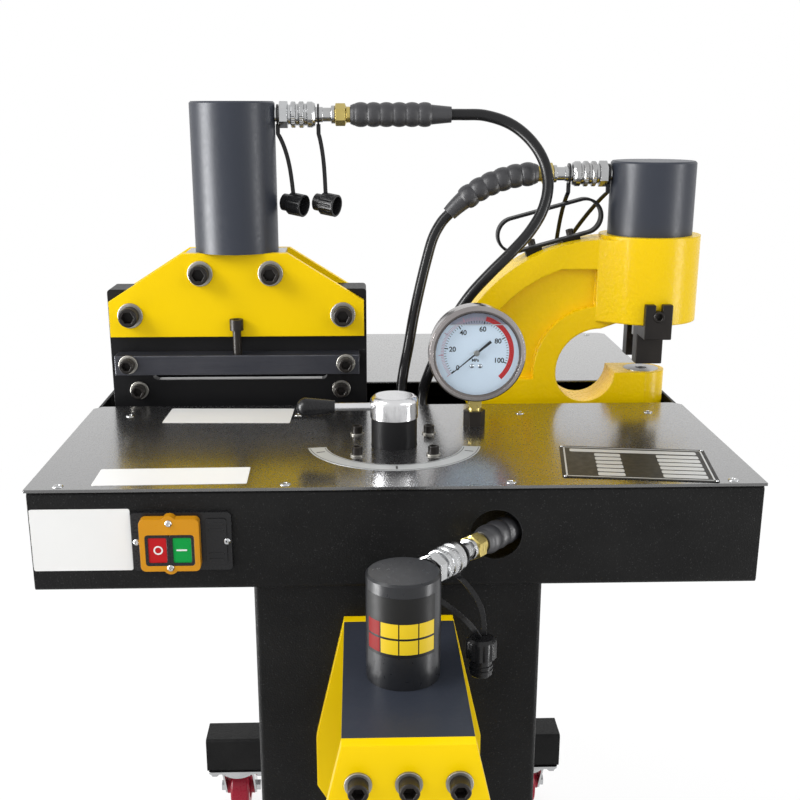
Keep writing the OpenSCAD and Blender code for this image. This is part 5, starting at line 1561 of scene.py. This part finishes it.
@dataclass
class PushSwitch:
    """Symbols, screws and raised panel of the stop and start switch.

    Attributes:
        base: Front of the black plate in depth.
        frame: Front of the orange frame in depth.
        face: Front of the buttons in depth.
        height: Middle of the buttons.
    """

    base: float = APRON_Y - 0.004
    frame: float = APRON_Y - 0.014
    face: float = APRON_Y - 0.013
    height: float = SWITCH_Z - 0.005

    def build(self) -> None:
        """Makes the symbols and the small parts of the switch plate."""
        self.symbols()
        self.guards()
        self.screws()
        panel = facing_front(SWITCH_X + 0.0425, self.base, SWITCH_Z)
        parts = [MeshKit.plate(MeshKit.rounded(0.020, 0.046, 0.003), 0.0012, panel)]
        parts += [MeshKit.plate(MeshKit.rounded(0.014, 0.0022, 0.001, 3), 0.0018,
                                panel @ Matrix.Translation((0, y, 0))) for y in (-0.018, -0.012, 0.012, 0.018)]
        MeshKit.piece("switch_panel", MeshKit.joined(parts), MOULDED_BLACK)

    def symbols(self) -> None:
        """Makes the ring on the stop button and the bar on the start button."""
        ring = MeshKit.sector(0.0030, 0.0044, 0, 359.9, 0.0003, facing_front(SWITCH_X - 0.011, self.face, self.height))
        MeshKit.piece("stop_symbol", ring, FILM_WHITE, "stop_push")
        bar = MeshKit.plate(MeshKit.rounded(0.0100, 0.0016, 0.0005, 3), 0.0003,
                            facing_front(SWITCH_X + 0.011, self.face, self.height))
        MeshKit.piece("start_symbol", bar, FILM_WHITE, "start_push")

    def guards(self) -> None:
        """Makes the dark surround of each button, held in the frame's opening in front of the buttons: partly the
        guard, partly painted shade of the recess round the buttons.
        """
        outer, inner = MeshKit.rounded(0.0230, 0.0310, 0.0030), MeshKit.rounded(0.0172, 0.0250, 0.0015)
        parts = []
        for side in (-1, 1):
            place = facing_front(SWITCH_X + side * 0.0115, self.face, self.height)
            rows = ((outer, 0.0004), (outer, 0.0009), (inner, 0.0007), (inner, 0.0004))
            parts.append(MeshKit.skin([[place @ Vector((px, py, z)) for px, py in line] for line, z in rows],
                                      around=True))
        MeshKit.piece("button_guards", MeshKit.joined(parts), MOULDED_BLACK)

    def screws(self) -> None:
        """Makes the cross-head screws of the frame's lugs and the plate."""
        rows = [(0.0, 0.0034), (0.0006, 0.0034), (0.0016, 0.0026), (0.0019, 0.0012), (0.0012, 0.0008)]
        places = [facing_front(SWITCH_X, self.frame, TABLE_TOP - drop) for drop in (0.030, 0.0745)]
        places += [facing_front(SWITCH_X + x, self.base, SWITCH_Z) for x in (0.0525, -0.0325)]
        MeshKit.turned_set("switch_screws", rows, places, ZINC_STEEL, sharp=50)


@dataclass
class SoftEdges:
    """Copies of main solids with rounded edges.

    Attributes:
        nodes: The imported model's node objects.
    """

    nodes: dict[str, bpy.types.Object]

    def build(self) -> None:
        """Rounds the edges of the main plates and castings."""
        rows = (("punch_frame", "punch_casting", CAST_YELLOW, 0.0035, 3),
                ("front_cover", "front_cover_sheet", COVER_BLACK, 0.0010),
                ("rear_cover", "rear_cover_sheet", COVER_BLACK, 0.0010),
                ("cutter_plates", "cutter_side_plates", PLATE_YELLOW, 0.0008),
                ("bender_plates", "bender_side_plates", PLATE_YELLOW, 0.0010),
                ("cutter_clamp_bar", "hold_down_bar", BAR_GREY, 0.0010),
                ("punch_strippers", "stripper_feet", BLACK_OXIDE, 0.0012),
                ("punch_handle", "carrying_handle", SATIN_BLACK, 0.0006),
                ("cutter_cylinder", "cutter_cylinder_tube", CYLINDER_GREY, 0.0012),
                ("punch_cylinder", "punch_cylinder_tube", CYLINDER_GREY, 0.0012),
                ("bender_cylinder", "bender_cylinder_tube", CYLINDER_SHADED, 0.0012),
                ("bender_block", "bender_top_block", CYLINDER_GREY, 0.0012))
        for row in rows:
            self.rounded(*row)

    def rounded(self, node: str, name: str, finish: Finish, width: float, segments: int = 2) -> None:
        """Makes one rounded copy that stands for its solid.

        Args:
            node: The solid.
            name: Piece name.
            finish: Its finish.
            width: Width of the rounding.
            segments: Steps of the rounding.
        """
        made = bmesh.new()
        made.from_mesh(self.nodes[node].data)
        bmesh.ops.remove_doubles(made, verts=made.verts, dist=1e-6)
        bmesh.ops.dissolve_limit(made, angle_limit=math.radians(0.5), verts=made.verts, edges=made.edges)
        mesh = drawn(made, name)
        holder = into_scene(bpy.data.objects.new(f"{name}_edges", mesh))
        mesh.shade_smooth()
        bevel = holder.modifiers.new("edges", "BEVEL")
        bevel.width, bevel.segments = width, segments
        bevel.limit_method, bevel.angle_limit = "ANGLE", math.radians(SHARP_ANGLE)
        weighted = holder.modifiers.new("flat_faces", "WEIGHTED_NORMAL")
        weighted.weight, weighted.keep_sharp = 100, False
        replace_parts(MeshKit.link(name, plain_mesh(holder, name), finish), node)


def dress_nodes(frame: dict) -> None:
    """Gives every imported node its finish.
    """
    slots = {row["node"]: row["material_slot"] for row in frame["record"]["subparts"]}
    for name, obj in frame["nodes"].items():
        finish = NODE_FINISH.get(name) or SLOT_FINISH[slots[name]]
        obj.data.materials.clear()
        obj.data.materials.append(finish.material())
        LOG.info("node %s in %s", name, finish.name)


def main() -> None:
    """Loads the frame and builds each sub-assembly."""
    logging.basicConfig(level=logging.INFO, format="%(message)s")
    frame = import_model()
    Studio().build()
    HydraulicHose("hose_cutter", "cutter_hose", CUTTER_ROUTE).build()
    HydraulicHose("hose_punch", "punch_hose", PUNCH_ROUTE).build()
    dress_nodes(frame)
    Couplings().build()
    Fasteners(PointSpread()).build()
    Labels().build()
    PressureGauge().build()
    PushSwitch().build()
    SoftEdges(frame["nodes"]).build()


if __name__ == "__main__":
    main()
